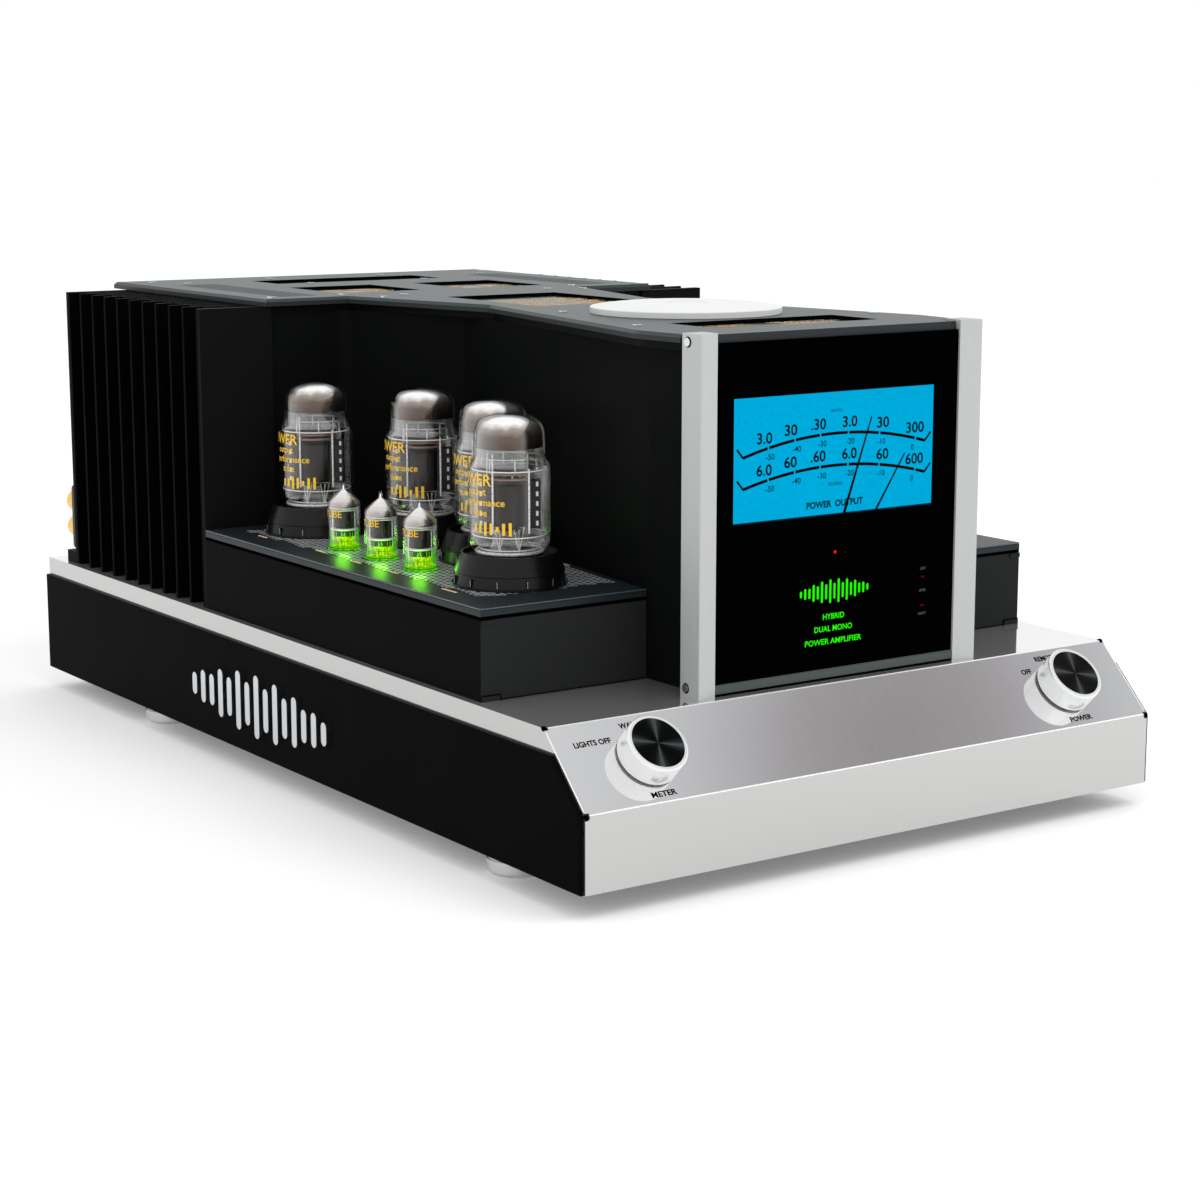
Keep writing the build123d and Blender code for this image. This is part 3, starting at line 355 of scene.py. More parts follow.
def spun_cap(name):
    """Black lacquer over fine concentric turning, with soft radial sheens painted into its colour, on one
    knob's tilted cap.
    """
    made, tree, shader = new_material("spun_black_painted_sheen", (0.01, 0.01, 0.01), 1.0, 0.3)
    shader.inputs["Anisotropic"].default_value = 0.8
    low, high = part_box(name)
    place = tree.nodes.new("ShaderNodeTexCoord")
    mapping = tree.nodes.new("ShaderNodeMapping")
    mapping.vector_type = "TEXTURE"
    mapping.inputs["Location"].default_value = (low + high) / 2
    mapping.inputs["Rotation"].default_value = (math.radians(45), 0, 0)
    tree.links.new(place.outputs["Object"], mapping.inputs["Vector"])
    rings = tree.nodes.new("ShaderNodeTexWave")
    rings.wave_type = "RINGS"
    rings.rings_direction = "Z"
    rings.inputs["Scale"].default_value = 420
    rings.inputs["Distortion"].default_value = 1.5
    tree.links.new(mapping.outputs["Vector"], rings.inputs["Vector"])
    fan = tree.nodes.new("ShaderNodeTexGradient")
    fan.gradient_type = "RADIAL"
    tree.links.new(mapping.outputs["Vector"], fan.inputs["Vector"])
    sheens, first_sheen = 4, 1.1
    angle = calculated(tree, "MULTIPLY", fan.outputs["Fac"], 2 * math.pi * sheens)
    wave = calculated(tree, "COSINE", calculated(tree, "ADD", angle, first_sheen))
    # Painted sheen: lighter radial streaks in the colour, where the turned cap would catch the light
    painted_sheen = ramp(tree, ranged(tree, wave, 0, 1, -1, 1), [
        (0.0, (0.003, 0.003, 0.003)), (0.6, (0.005, 0.006, 0.006)), (0.92, (0.025, 0.029, 0.03)),
        (1.0, (0.09, 0.095, 0.10)),
    ])
    tree.links.new(painted_sheen, shader.inputs["Base Color"])
    roughen(tree, shader, rings.outputs["Fac"], 0.15, 0.0001)
    return made


PAINT = (
    (SHADED_STEEL, "chassis_shell"), (BASE, "base_plate"), (SIDE_GLASS, "side_glass_left side_glass_right"),
    (BADGE, "side_badges"), (FOOT, "feet"), (DECK_SHADED_PAINT, "deck_box_left deck_box_right"),
    (DECK_TOP, "deck_plate_left deck_plate_right"), (COLLAR, "tube_collars"),
    (TUBE_GLASS, "power_tube_glass_left power_tube_glass_right"),
    (TUBE_GLASS, "driver_tube_glass_left driver_tube_glass_right"),
    (WALL, "body_wall_left body_wall_right rear_panel"), (RIM, "top_rim"), (SLATE_SHADED, "top_plate"),
    (PANE, "top_windows"), (DISC, "top_disc"), (BAR, "corner_bar_left corner_bar_right"),
    (BRIGHT, "cover_screws meter_switch_shaft power_switch_shaft"), (FRONT_GLASS, "front_panel"),
    (METER_PANE, "meter_window"), (METER_BLUE, "meter_face"), (NEEDLE, "needle_upper needle_lower"),
    (STRIP, "trim_strip"), (SINK, "heatsink_left heatsink_right"), (END_PLATE, "heatsink_end_plates"),
    (KNOB, "meter_knob power_knob"), (spun_cap("meter_knob_cap"), "meter_knob_cap"),
    (spun_cap("power_knob_cap"), "power_knob_cap"),
    (GOLD, "binding_posts post_nut_left_low post_nut_left_high post_nut_right_low post_nut_right_high"),
    (BLOCK, "tube_sockets meter_movements output_transistors rotary_switches terminal_blocks power_inlet"),
    (SOCKETS, "input_sockets"), (CORE, "power_transformer output_transformers"), (CAN, "filter_capacitors"),
    (BOARD, "circuit_boards"),
)
for made, names in PAINT:
    for name in names.split():
        holder = nodes[name]
        if not holder.material_slots:
            holder.data.materials.append(made)
        for place in holder.material_slots:
            place.material = made

# ------------------------------------------------------------------ mesh building


class Shape:
    """Gathers vertices and faces, then makes one piece of them."""

    def __init__(self):
        self.verts, self.faces, self.marks = [], [], []

    def add(self, verts, faces, mark=0, smooth=False):
        """Adds faces; mark is the number of their material in the piece's list."""
        base = len(self.verts)
        self.verts += [tuple(v) for v in verts]
        for face in faces:
            self.faces.append(tuple(base + i for i in face))
            self.marks.append((mark, smooth))

    def lathe(self, profile, mark=0, steps=48, centre=(0, 0, 0), smooth=True, loop=False):
        """Turns a list of (radius, height) about a vertical line through the centre."""
        verts, faces = [], []
        for radius, height in profile:
            for k in range(steps):
                angle = 2 * math.pi * k / steps
                x, y = radius * math.cos(angle), radius * math.sin(angle)
                verts.append((centre[0] + x, centre[1] + y, centre[2] + height))
        rows = len(profile)
        for row in range(rows if loop else rows - 1):
            after = (row + 1) % rows
            for k in range(steps):
                nxt = (k + 1) % steps
                faces.append((row * steps + k, row * steps + nxt, after * steps + nxt, after * steps + k))
        self.add(verts, faces, mark, smooth)

    def ring(self, radius, thick, height, mark=0, steps=48, sides=8):
        """A level ring of round wire; thick is the wire's radius."""
        profile = []
        for k in range(sides):
            angle = 2 * math.pi * k / sides
            profile.append((radius + thick * math.cos(angle), height + thick * math.sin(angle)))
        self.lathe(profile, mark, steps, loop=True)

    def box(self, centre, size, mark=0, turn=0.0):
        """A box of this size about its centre, turned about the vertical."""
        verts = []
        for sx in (-0.5, 0.5):
            for sy in (-0.5, 0.5):
                for sz in (-0.5, 0.5):
                    x, y = sx * size[0], sy * size[1]
                    verts.append((
                        centre[0] + x * math.cos(turn) - y * math.sin(turn),
                        centre[1] + x * math.sin(turn) + y * math.cos(turn),
                        centre[2] + sz * size[2],
                    ))
        faces = [(0, 1, 3, 2), (4, 6, 7, 5), (0, 4, 5, 1), (2, 3, 7, 6), (0, 2, 6, 4), (1, 5, 7, 3)]
        self.add(verts, faces, mark)

    def rod(self, start, end, radius, mark=0, steps=10):
        """A straight round rod with flat ends."""
        a, b = Vector(start), Vector(end)
        lean = (b - a).to_track_quat("Z", "Y").to_matrix()
        verts = []
        for point in (a, b):
            for k in range(steps):
                angle = 2 * math.pi * k / steps
                verts.append(point + lean @ Vector((radius * math.cos(angle), radius * math.sin(angle), 0)))
        faces = [(k, (k + 1) % steps, steps + (k + 1) % steps, steps + k) for k in range(steps)]
        self.add(verts, faces, mark, True)
        self.add(verts[:steps], [tuple(reversed(range(steps)))], mark)
        self.add(verts[steps:], [tuple(range(steps))], mark)

    def words(self, text, size, place, mark=0, align="CENTER", width=None, bold=0.012):
        """Flat lettering. place turns a point of the lettering's own plane into a point in space."""
        curve = bpy.data.curves.new("lettering", "FONT")
        curve.body = text
        curve.size = size
        curve.align_x = align
        curve.align_y = "CENTER"
        curve.offset = bold * size
        curve.resolution_u = 3
        holder = bpy.data.objects.new("lettering", curve)
        mesh = bpy.data.meshes.new_from_object(holder)
        if len(mesh.vertices):
            xs = [v.co.x for v in mesh.vertices]
            squeeze = width / (max(xs) - min(xs)) if width else 1.0
            verts = [place(v.co.x * squeeze, v.co.y) for v in mesh.vertices]
            self.add(verts, [tuple(p.vertices) for p in mesh.polygons], mark)
        bpy.data.objects.remove(holder)
        bpy.data.curves.remove(curve)
        bpy.data.meshes.remove(mesh)

    def ribbon(self, points, half, lay):
        """A flat ribbon through points of a plane. lay turns a point of that plane into one in space."""
        verts = []
        for k, (u, v) in enumerate(points):
            before, after = points[max(0, k - 1)], points[min(len(points) - 1, k + 1)]
            along = Vector((after[0] - before[0], after[1] - before[1])).normalized()
            verts.append(lay(u - along.y * half, v + along.x * half))
            verts.append(lay(u + along.y * half, v - along.x * half))
        self.add(verts, [(2 * k, 2 * k + 1, 2 * k + 3, 2 * k + 2) for k in range(len(points) - 1)])

    def build(self, name, mats, location=(0, 0, 0), turn=0.0, body=ROOT, slot=None, mesh=None):
        """Makes the piece, or another piece with a mesh that is already made."""
        if mesh is None:
            mesh = bpy.data.meshes.new(name)
            mesh.from_pydata(self.verts, [], self.faces)
            for polygon, (mark, smooth) in zip(mesh.polygons, self.marks):
                polygon.material_index = mark
                polygon.use_smooth = smooth
            for made in mats:
                mesh.materials.append(made)
            mesh.update()
        piece = bpy.data.objects.new(name, mesh)
        bpy.context.scene.collection.objects.link(piece)
        piece.location = location
        piece.rotation_euler = (0, 0, turn)
        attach(piece, body)
        return piece


# ------------------------------------------------------------------ tubes

# The tubes stand on the decks, each in millimetres from the middle and behind the front face. All
# heights inside a tube are above the deck. The prints face FACING, in front and to the left.
DECK_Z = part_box("deck_plate_left")[1].z
POWER_PLACES = [(155, 182), (116, 262), (116, 352), (155, 432)]
DRIVER_PLACES = [(175, 257), (175, 307), (175, 357)]
FACING = math.radians(-34.6)
LAMP_OUT, LAMP_UP = 12.5 * MM, 9 * MM
WIRE_RADIUS = 0.62 * MM
DOME = [
    (22.1, 85.5), (22.2, 88), (22.0, 92), (20.8, 96.5),
    (17.4, 100.6), (12.0, 103.2), (6.0, 104.3), (0.02, 104.6),
]
DOME_INSET = 1.4  # the getter's mirror lies this far inside the glass's dome


def scaled(points, inset=0.0):
    """A profile in millimetres, as (radius, height) in metres."""
    return [((r - inset if r > inset else r) * MM, z * MM) for r, z in points]


def power_core():
    """What shows inside an output tube: base ring, stem, micas, plate, wires and getter."""
    shape = Shape()
    shape.lathe(scaled([(0.1, 3), (19.2, 3), (20.2, 5), (20.2, 19.6), (0.1, 19.6)]), 1)
    shape.ring(20.3 * MM, 1.25 * MM, 21.0 * MM, 3)
    shape.ring(19.0 * MM, 0.5 * MM, 23.0 * MM, 3)
    shape.lathe(scaled([(16.5, 20.2), (13.5, 22.5), (11.5, 26), (10.5, 33.6)]), 6)
    for level in (31.5, 72.2):
        shape.ring(23.0 * MM, 0.42 * MM, level * MM, 2)
        shape.lathe(scaled([(0.1, level), (22.4, level), (22.4, level + 0.5), (0.1, level + 0.5)]), 8)
    shape.lathe(scaled([(23.6, 74.4), (22.6, 77.5), (21.2, 80.5), (21.0, 85.4)]), 9, 64)
    shape.lathe(scaled([(9.9, 36), (10.1, 37), (10.1, 61.5), (9.4, 62.6), (0.1, 62.6)]), 4)
    for side in (-1, 1):
        shape.box((side * 14.6 * MM, 0, 50 * MM), (9.4 * MM, 10 * MM, 30 * MM), 5)
        for row in range(5):
            slit = (side * 17.4 * MM, -5.2 * MM, (38.5 + 6.1 * row) * MM)
            shape.box(slit, (1.5 * MM, 0.6 * MM, 2.9 * MM), 2)
        for row in range(3):
            top = (side * (3 + 3 * row) * MM, -3 * MM, 34 * MM)
            shape.rod((side * 6 * MM, -7 * MM, 20 * MM), top, 0.35 * MM, 3)
    shape.ring(13.6 * MM, 0.9 * MM, 66.3 * MM, 7)
    shape.ring(12.6 * MM, 0.8 * MM, 69.3 * MM, 7)
    wires = ((-9.8, -12.0, 33, 82), (12.6, -10.8, 33, 73), (-14, 11, 34, 80), (11, 13, 34, 80))
    for x, y, low, high in wires:
        shape.rod((x * MM, y * MM, low * MM), (x * MM, y * MM, high * MM), WIRE_RADIUS, 3)
    for spring in range(8):
        angle = math.radians(45 * spring + 12)
        across, deep = math.cos(angle), math.sin(angle)
        shape.rod(
            (20.9 * MM * across, 20.9 * MM * deep, 72.6 * MM),
            (20.2 * MM * across, 20.2 * MM * deep, 79.5 * MM), 0.4 * MM, 3,
        )
    shape.ring(20.4 * MM, 0.35 * MM, 79.4 * MM, 3)
    shape.lathe(scaled(DOME, DOME_INSET), 0, 64)
    return shape


def round_tube(radius, base_angle, height):
    """Wraps lettering round a tube, its origin at this angle from the tube's front."""
    def place(x, y):
        angle = base_angle + x / radius
        return (radius * math.sin(angle), -radius * math.cos(angle), height + y)
    return place


def power_print():
    """Gold lettering and a row of bars, on the left of the tube's front."""
    shape = Shape()
    radius = 25.72 * MM
    for text, size, angle, height in (
        ("POWER", 10.0, -24, 67), ("output", 6.2, -32, 60),
        ("performance", 6.2, -4, 53.5), ("tube", 6.2, -30, 47),
    ):
        shape.words(text, size * MM, round_tube(radius, math.radians(angle), height * MM), 0, "RIGHT")
    for bar in range(7):
        angle = math.radians(3 - 9 * bar)
        tall = (3 + 5.5 * abs(math.sin(1.3 + bar * 0.9))) * MM
        centre = (radius * math.sin(angle), -radius * math.cos(angle), 37.5 * MM)
        shape.box(centre, (1.9 * MM, 0.12 * MM, tall), 0, angle)
    return shape


def driver_core():
    """A small tube's lit foot, plates, micas and silvered tip."""
    shape = Shape()
    shape.lathe(scaled([(0.1, 1.8), (9.3, 1.8), (9.6, 2.8), (9.3, 3.6), (0.1, 3.6)]), 6)
    pins = 30
    for k in range(pins):
        angle = 2 * math.pi * k / pins
        x, y = 9.3 * MM * math.cos(angle), 9.3 * MM * math.sin(angle)
        top = (12.6 if k % 3 else 8.5) * MM
        shape.rod((x * 1.04, y * 1.04, 1.5 * MM), (x * 0.98, y * 0.98, top), 0.26 * MM, 5, 6)
    for level, radius, thick in ((0.9, 10.6, 0.6), (2.6, 9.9, 0.45), (6.2, 9.0, 0.3)):
        shape.ring(radius * MM, thick * MM, level * MM, 5, 40)
    shape.lathe(scaled([(6.4, 2.2), (7.0, 4.4), (6.6, 7.6), (5.0, 9.2), (2.2, 10.6), (0.1, 11.0)]), 6, 32)
    shape.lathe(scaled([(7.4, 9.0), (7.4, 12.6), (0.1, 12.7)]), 4, 32)
    shape.lathe(scaled([(0.1, 13.2), (9.2, 13.2), (9.4, 13.6), (9.2, 14.0), (0.1, 14.0)]), 2)
    shape.lathe(scaled([(0.1, 26.4), (9.2, 26.4), (9.4, 26.8), (9.2, 27.2), (0.1, 27.2)]), 2)
    shape.box((0, 0, 20.2 * MM), (11 * MM, 6 * MM, 12.2 * MM), 4)
    shape.lathe(scaled([(5.4, 14.2), (5.6, 15), (5.6, 25.6), (5.2, 26.3)]), 1, 32)
    for side in (-1, 1):
        shape.rod((side * 7.4 * MM, -2 * MM, 3 * MM), (side * 7.4 * MM, -2 * MM, 27 * MM), 0.4 * MM, 3)
        shape.box((side * 6.4 * MM, 0, 20.2 * MM), (3.2 * MM, 4 * MM, 11 * MM), 4)
    tip = [(9.7, 28.2), (10.0, 29.5), (9.6, 31.8), (8.2, 34.6), (5.6, 37.2), (2.6, 39.4), (0.9, 40.4)]
    shape.lathe(scaled(tip), 0, 40)
    shape.ring(9.8 * MM, 0.35 * MM, 28.2 * MM, 3)
    shape.lathe(scaled([(0.9, 40.2), (0.75, 42.4), (0.1, 43.6)]), 0, 16)
    return shape


def driver_print():
    """One word on a small tube, over three rows of dashes."""
    shape = Shape()
    radius = 11.1 * MM
    shape.words("TUBE", 6.4 * MM, round_tube(radius, math.radians(-2), 24.5 * MM), 0, "RIGHT")
    for row in range(3):
        place = round_tube(radius, math.radians(-30), (15.5 - 2.6 * row) * MM)
        shape.words("- -", 3.6 * MM, place, 0, "RIGHT")
    return shape


def glow_lamp(name, x, y):
    """The green light that a small tube throws on the deck before it."""
    lamp = bpy.data.lights.new(name, "POINT")
    lamp.color = (0.22, 1.0, 0.03)
    lamp.energy = 0.0085
    lamp.shadow_soft_size = 0.005
    holder = bpy.data.objects.new(name, lamp)
    bpy.context.scene.collection.objects.link(holder)
    holder.location = (x + LAMP_OUT * math.sin(FACING), y - LAMP_OUT * math.cos(FACING), DECK_Z + LAMP_UP)


power_shape, power_ink = power_core(), power_print()
driver_shape, driver_ink = driver_core(), driver_print()
power_mats = [GETTER_WITH_HIGHLIGHT, BLOCK, MICA, WIRE, ANODE, WING, STEM_GLASS, COPPER, METER_PANE, FROST]
driver_mats = [DRIVER_GETTER_WITH_HIGHLIGHT, ANODE, MICA, WIRE, WING, GLOW_GREEN, GLOW_YELLOW]
shared = {}
for side, name in ((-1, "left"), (1, "right")):
    for kind, shape, mats, places, replaced, slot in (
        ("output_core", power_shape, power_mats, POWER_PLACES, "power_tube_cores", "tube_metal"),
        ("output_print", power_ink, [GOLD_INK], POWER_PLACES, None, "tube_glass"),
        ("driver_core", driver_shape, driver_mats, DRIVER_PLACES, "driver_tube_cores", "driver_metal"),
        ("driver_print", driver_ink, [GOLD_INK], DRIVER_PLACES, None, "tube_glass"),
    ):
        for number, (x, y) in enumerate(places):
            spot = (side * x * MM, back(y), DECK_Z)
            piece = shape.build(
                f"{kind}_{name}_{number + 1}", mats, spot, FACING, ROOT, slot, shared.get(kind)
            )
            shared[kind] = piece.data
            if replaced:
                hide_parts(f"{replaced}_{name}")
    for number, (x, y) in enumerate(DRIVER_PLACES):
        glow_lamp(f"glow_{name}_{number + 1}", side * x * MM, back(y))

# Painted highlights: light ticks on the edges of the collars' ribs
TICKS_OUT = 35.75 * MM
rib_highlights = Shape()
for side in (-1, 1):
    for x, y in POWER_PLACES:
        for k in range(12):
            angle = math.radians(15 + 30 * k)
            tick_x = side * x * MM + TICKS_OUT * math.cos(angle)
            tick_y = back(y) + TICKS_OUT * math.sin(angle)
            rib_highlights.box((tick_x, tick_y, DECK_Z + 4.5 * MM), (0.35 * MM, 0.55 * MM, 4.2 * MM), 0, angle)
rib_highlights.build("collar_rib_highlights", [RIB_HIGHLIGHT], slot="collar_black")

# ------------------------------------------------------------------ perforated decks

WALL_WIDE, WALL_WAIST, WALL_FLARED = 96.3, 61, 101  # mm from the middle
TAPER_START, TAPER_END, FLARE_END = 115, 385, 486  # mm behind the front face
GRILLE_NEAR, GRILLE_FAR, GRILLE_EDGE, GRILLE_MARGIN = 148, 460, 195, 8
COLLAR_CLEAR, DRIVER_CLEAR = 33, 11.5
GRILLE_X, GRILLE_Y = 150, 305  # mm, the cell that all the others are counted from
PITCH, ROW_PITCH = 4.8, 5.6
ROW_TURN = math.radians(30)
HEXAGON = [(0.5, 0.28), (0.0, 0.58), (-0.5, 0.28), (-0.5, -0.28), (0.0, -0.58), (0.5, -0.28)]
CELL_OVERLAP = 1.16
HOLE = 0.66  # a cell's opening, as a part of the cell
REACH_CELLS = 90


def wall_at(distance):
    """How far from the middle the folded wall stands, at a distance behind the front face."""
    if distance < TAPER_START:
        return WALL_WIDE
    if distance < TAPER_END:
        return WALL_WIDE - (distance - TAPER_START) * (WALL_WIDE - WALL_WAIST) / (TAPER_END - TAPER_START)
    return WALL_WAIST + (distance - TAPER_END) * (WALL_FLARED - WALL_WAIST) / (FLARE_END - TAPER_END)


def in_grille(x, y):
    """Whether the deck is perforated here: inside its border, clear of the wall and the tubes."""
    if not (GRILLE_NEAR < y < GRILLE_FAR and wall_at(y) + GRILLE_MARGIN < x < GRILLE_EDGE):
        return False
    return all(math.hypot(x - px, y - py) > COLLAR_CLEAR for px, py in POWER_PLACES) and all(
        math.hypot(x - px, y - py) > DRIVER_CLEAR for px, py in DRIVER_PLACES
    )


def turned(u, v):
    """A step along and across the rows of cells, as a step in x and in distance from the front."""
    return (
        u * math.cos(ROW_TURN) - v * math.sin(ROW_TURN), u * math.sin(ROW_TURN) + v * math.cos(ROW_TURN)
    )


for side, name in ((-1, "left"), (1, "right")):
    grille, under = Shape(), Shape()
    for row in range(-REACH_CELLS, REACH_CELLS + 1):
        for column in range(-REACH_CELLS, REACH_CELLS + 1):
            across, deep = turned((column + 0.5 * (row % 2)) * PITCH, row * ROW_PITCH)
            x, y = GRILLE_X + across, GRILLE_Y + deep
            if not in_grille(x, y):
                continue
            verts = []
            for grow, level in ((1.0, 0.28), (HOLE, 0.28), (HOLE, 0.06)):
                for hu, hv in HEXAGON:
                    across, deep = turned(hu * PITCH * grow, hv * ROW_PITCH * CELL_OVERLAP * grow)
                    verts.append((side * (x + across) * MM, back(y + deep), DECK_Z + level * MM))
            faces = []
            for k in range(6):
                nxt = (k + 1) % 6
                faces.append((k, nxt, 6 + nxt, 6 + k))
                faces.append((6 + k, 6 + nxt, 12 + nxt, 12 + k))
            grille.add(verts, faces)
            under.add([(a, b, DECK_Z + 0.05 * MM) for a, b, _ in verts[:6]], [tuple(range(6))])
    grille.build(f"deck_grille_{name}", [GRILLE], slot="deck_slate")
    under.build(f"deck_grille_shadow_{name}", [UNDER], slot="deck_slate")
    marks = Shape()
    for x, y, length in (
        (198, 432, 12), (195, 354, 12), (196.5, 303, 12), (196, 256, 12), (200.5, 179.5, 17), (89.5, 224, 22)
    ):
        marks.box((side * x * MM, back(y), DECK_Z + 0.3 * MM), (1.7 * MM, length * MM, 0.2 * MM))
    marks.build(f"deck_marks_{name}", [PALE_GOLD], slot="gold")

# ------------------------------------------------------------------ meter scale

face_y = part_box("meter_face")[1].y - 2 * MM
PRINT_DEPTH = 0.06 * MM
LIFT, ALONG = 14.1, 3.0  # mm, which the scales' own x and height are short of the frame's
SCALE_GAP = 0.55  # half of the gap in an arc at each mark
GAPS = [-52.4, -31.9, -12.1, 10.0, 35.1, 64.7]
LABELS_AT = [-55.5, -35.3, -13.8, 11.0, 37.7, 64.0]
SCALES = (
    (2, -27, 267.7, -71.6, 72.6, ["3.0", "30", ".30", "3.0", "30", "300"]),
    (1, -56.5, 277.5, -71.4, 72.8, ["6.0", "60", ".60", "6.0", "60", "600"]),
)
scale_print = Shape()


def on_face(x, z):
    """Places lettering on the meter's face, its middle at this x and height."""
    def place(u, v):
        return ((x + ALONG) * MM + u, face_y - PRINT_DEPTH, (z + LIFT) * MM + v)
    return place


def arc_lay(depth):
    """Lays a scale's own x and height, in metres, on the meter's face."""
    def lay(u, v):
        return (u, face_y - depth, v)
    return lay


def draw_scale(centre_x, centre_z, radius, start, end, labels):
    """One arc with a gap at each mark, a short flick at each end, its labels and its decibels."""
    def arc_z(x):
        return centre_z + math.sqrt(radius**2 - (x - centre_x) ** 2)

    stops = [start] + GAPS + [end]
    for k in range(len(stops) - 1):
        low = stops[k] + (SCALE_GAP if k else 0)
        high = stops[k + 1] - (SCALE_GAP if k < len(stops) - 2 else 0)
        points = []
        for step in range(13):
            x = low + (high - low) * step / 12
            points.append(((x + ALONG) * MM, (arc_z(x) + LIFT) * MM))
        scale_print.ribbon(points, 0.95 * MM, arc_lay(PRINT_DEPTH))
    for x, direction in ((start, -1), (end, 1)):
        z = arc_z(x)
        flick = [
            ((x + ALONG - direction * 0.3) * MM, (z + LIFT - 0.2) * MM),
            ((x + ALONG + direction * 4.6) * MM, (z + LIFT + 5.4) * MM),
        ]
        scale_print.ribbon(flick, 0.7 * MM, arc_lay(0.07 * MM))
    for k, text in enumerate(labels):
        wide = (4.9 * len(text.replace(".", "")) + 1.9 * text.count(".")) * MM
        place = on_face(LABELS_AT[k], arc_z(LABELS_AT[k]) + 6.4)
        scale_print.words(text, 9.4 * MM, place, 0, "CENTER", wide, 0.02)
        last = k == len(labels) - 1
        place = on_face(GAPS[k] + (-2.5 if last else 1.5), arc_z(GAPS[k]) - 5.6)
        scale_print.words("0" if last else str(-50 + 10 * k), 5.2 * MM, place, 1)


for scale in SCALES:
    draw_scale(*scale)
scale_print.words("WATTS", 2.6 * MM, on_face(0, 254.5), 1)
scale_print.words("DECIBELS", 2.8 * MM, on_face(0, 209.6), 1)
scale_print.words("POWER  OUTPUT", 5.6 * MM, on_face(0, 197.3), 0, "CENTER", 45 * MM, 0.035)
scale_print.build("meter_scale", [INK, FAINT_INK], slot="meter_blue")

# ------------------------------------------------------------------ front glass

# Heights here are above the chassis's underside, and x is BEHIND to the right of the frame's.
glass_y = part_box("front_panel")[0].y
BEHIND = 3.4
INK_LIFT = 0.08 * MM
PANEL_TEXT = 4.9 * MM
front_print = Shape()


def on_glass(x, z):
    """Places lettering on the front glass, its middle at this x and height."""
    def place(u, v):
        return ((x - BEHIND) * MM + u, glass_y - INK_LIFT, (z + CHASSIS_BASE) * MM + v)
    return place


BARS, BAR_HALF, BAR_STEP, BARS_LEVEL = 17, 0.85, 3.3, 158.7
for bar in range(BARS):
    swell = math.sin(math.pi * (bar + 0.5) / BARS)
    tall = 3.5 + 11.5 * swell * (1.0 if bar % 2 else 0.55)
    x = 1 - BEHIND + (bar - (BARS - 1) / 2) * BAR_STEP
    outline = []
    for k in range(16):
        angle = 2 * math.pi * k / 16
        lift = (tall - 2 * BAR_HALF) / 2 * (1 if math.sin(angle) >= 0 else -1)
        outline.append((
            (x + BAR_HALF * math.cos(angle)) * MM, glass_y - INK_LIFT,
            (BARS_LEVEL + lift + BAR_HALF * math.sin(angle)) * MM,
        ))
    front_print.add(outline, [tuple(range(16))])
for text, z, width in (("HYBRID", 127.9, 17), ("DUAL MONO", 120.4, 30), ("POWER AMPLIFIER", 112.4, 45)):
    front_print.words(text, PANEL_TEXT, on_glass(0.5, z), 0, "CENTER", width * MM, 0.02)
for text, z in (("LEFT", 150.5), ("LEVEL", 136.7), ("RIGHT", 121.8)):
    front_print.words(text, 2.2 * MM, on_glass(73, z), 2)
for z in (145.3, 126.9):
    centre = ((73 - BEHIND) * MM, glass_y - 0.05 * MM, (z + CHASSIS_BASE) * MM)
    front_print.box(centre, (2.6 * MM, 0.1 * MM, 0.8 * MM), 3)
led = [(0.9 * MM * math.cos(math.pi * k / 8), 0.9 * MM * math.sin(math.pi * k / 8)) for k in range(16)]
front_print.add(
    [((1 - BEHIND) * MM + u, glass_y - INK_LIFT, 182.9 * MM + v) for u, v in led], [tuple(range(16))], 1
)
front_print.build("front_print", [GREEN, RED, DIM_GREY, DIM_RED], slot="front_glass")

# ------------------------------------------------------------------ control panel lettering

FOLD = 46  # mm from the chassis's underside to the fold below the sloping panel
DIAGONAL = math.sqrt(0.5)
slope_print = Shape()


def on_slope(x, height):
    """Lettering on the sloping panel, upright towards its top edge; height is from the underside."""
    def place(u, v):
        return (
            x * MM + u,
            FRONT + (height - FOLD) * MM + v * DIAGONAL - INK_LIFT * DIAGONAL,
            (height + CHASSIS_BASE) * MM + v * DIAGONAL + INK_LIFT * DIAGONAL,
        )
    return place


for text, x, height, width in (
    ("LIGHTS OFF", -195.8, 78, 25.5), ("WATTS", -165, 83.6, 16.5), ("METER", -165.5, 50, 17.5),
    ("OFF", 143.8, 78, 8.6), ("REMOTE", 165.5, 83.6, 18.5), ("POWER", 166, 50, 19),
):
    slope_print.words(text, 5.0 * MM, on_slope(x, height), 0, "CENTER", width * MM, 0.03)
slope_print.build("panel_lettering", [INK], slot="polished_steel")

# ------------------------------------------------------------------ painted highlights on bends and edges, dark seams and painted shade lines

shell_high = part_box("chassis_shell")[1]
half_width = shell_high.x - 0.1 * MM
fold_level, top_level = (FOLD + CHASSIS_BASE) * MM, shell_high.z
SLOPE_DEPTH = 42.5
slope_top = back(SLOPE_DEPTH)


def level_rod(shape, half, y, z, radius):
    """A rod across the chassis, as far to each side."""
    shape.rod((-half, y, z), (half, y, z), radius)


# Painted highlights: bright rods along the chassis's bends, at the fold, at the slope's top edge and up its
# two ends
bend_highlights = Shape()
level_rod(bend_highlights, half_width - 3 * MM, FRONT + 0.55 * MM, fold_level + 0.2 * MM, 0.5 * MM)
level_rod(bend_highlights, half_width - 3 * MM, slope_top + 0.1 * MM, top_level - 0.5 * MM, 0.42 * MM)
for side in (-1, 1):
    x = side * (half_width - 0.4 * MM)
    low, high = (FRONT + 2.4 * MM, fold_level + 2.1 * MM), (slope_top - 2.3 * MM, top_level - 2.6 * MM)
    bend_highlights.rod((x, *low), (x, *high), 0.45 * MM)
bend_highlights.build("bend_shine", [SHINE], slot="polished_steel")

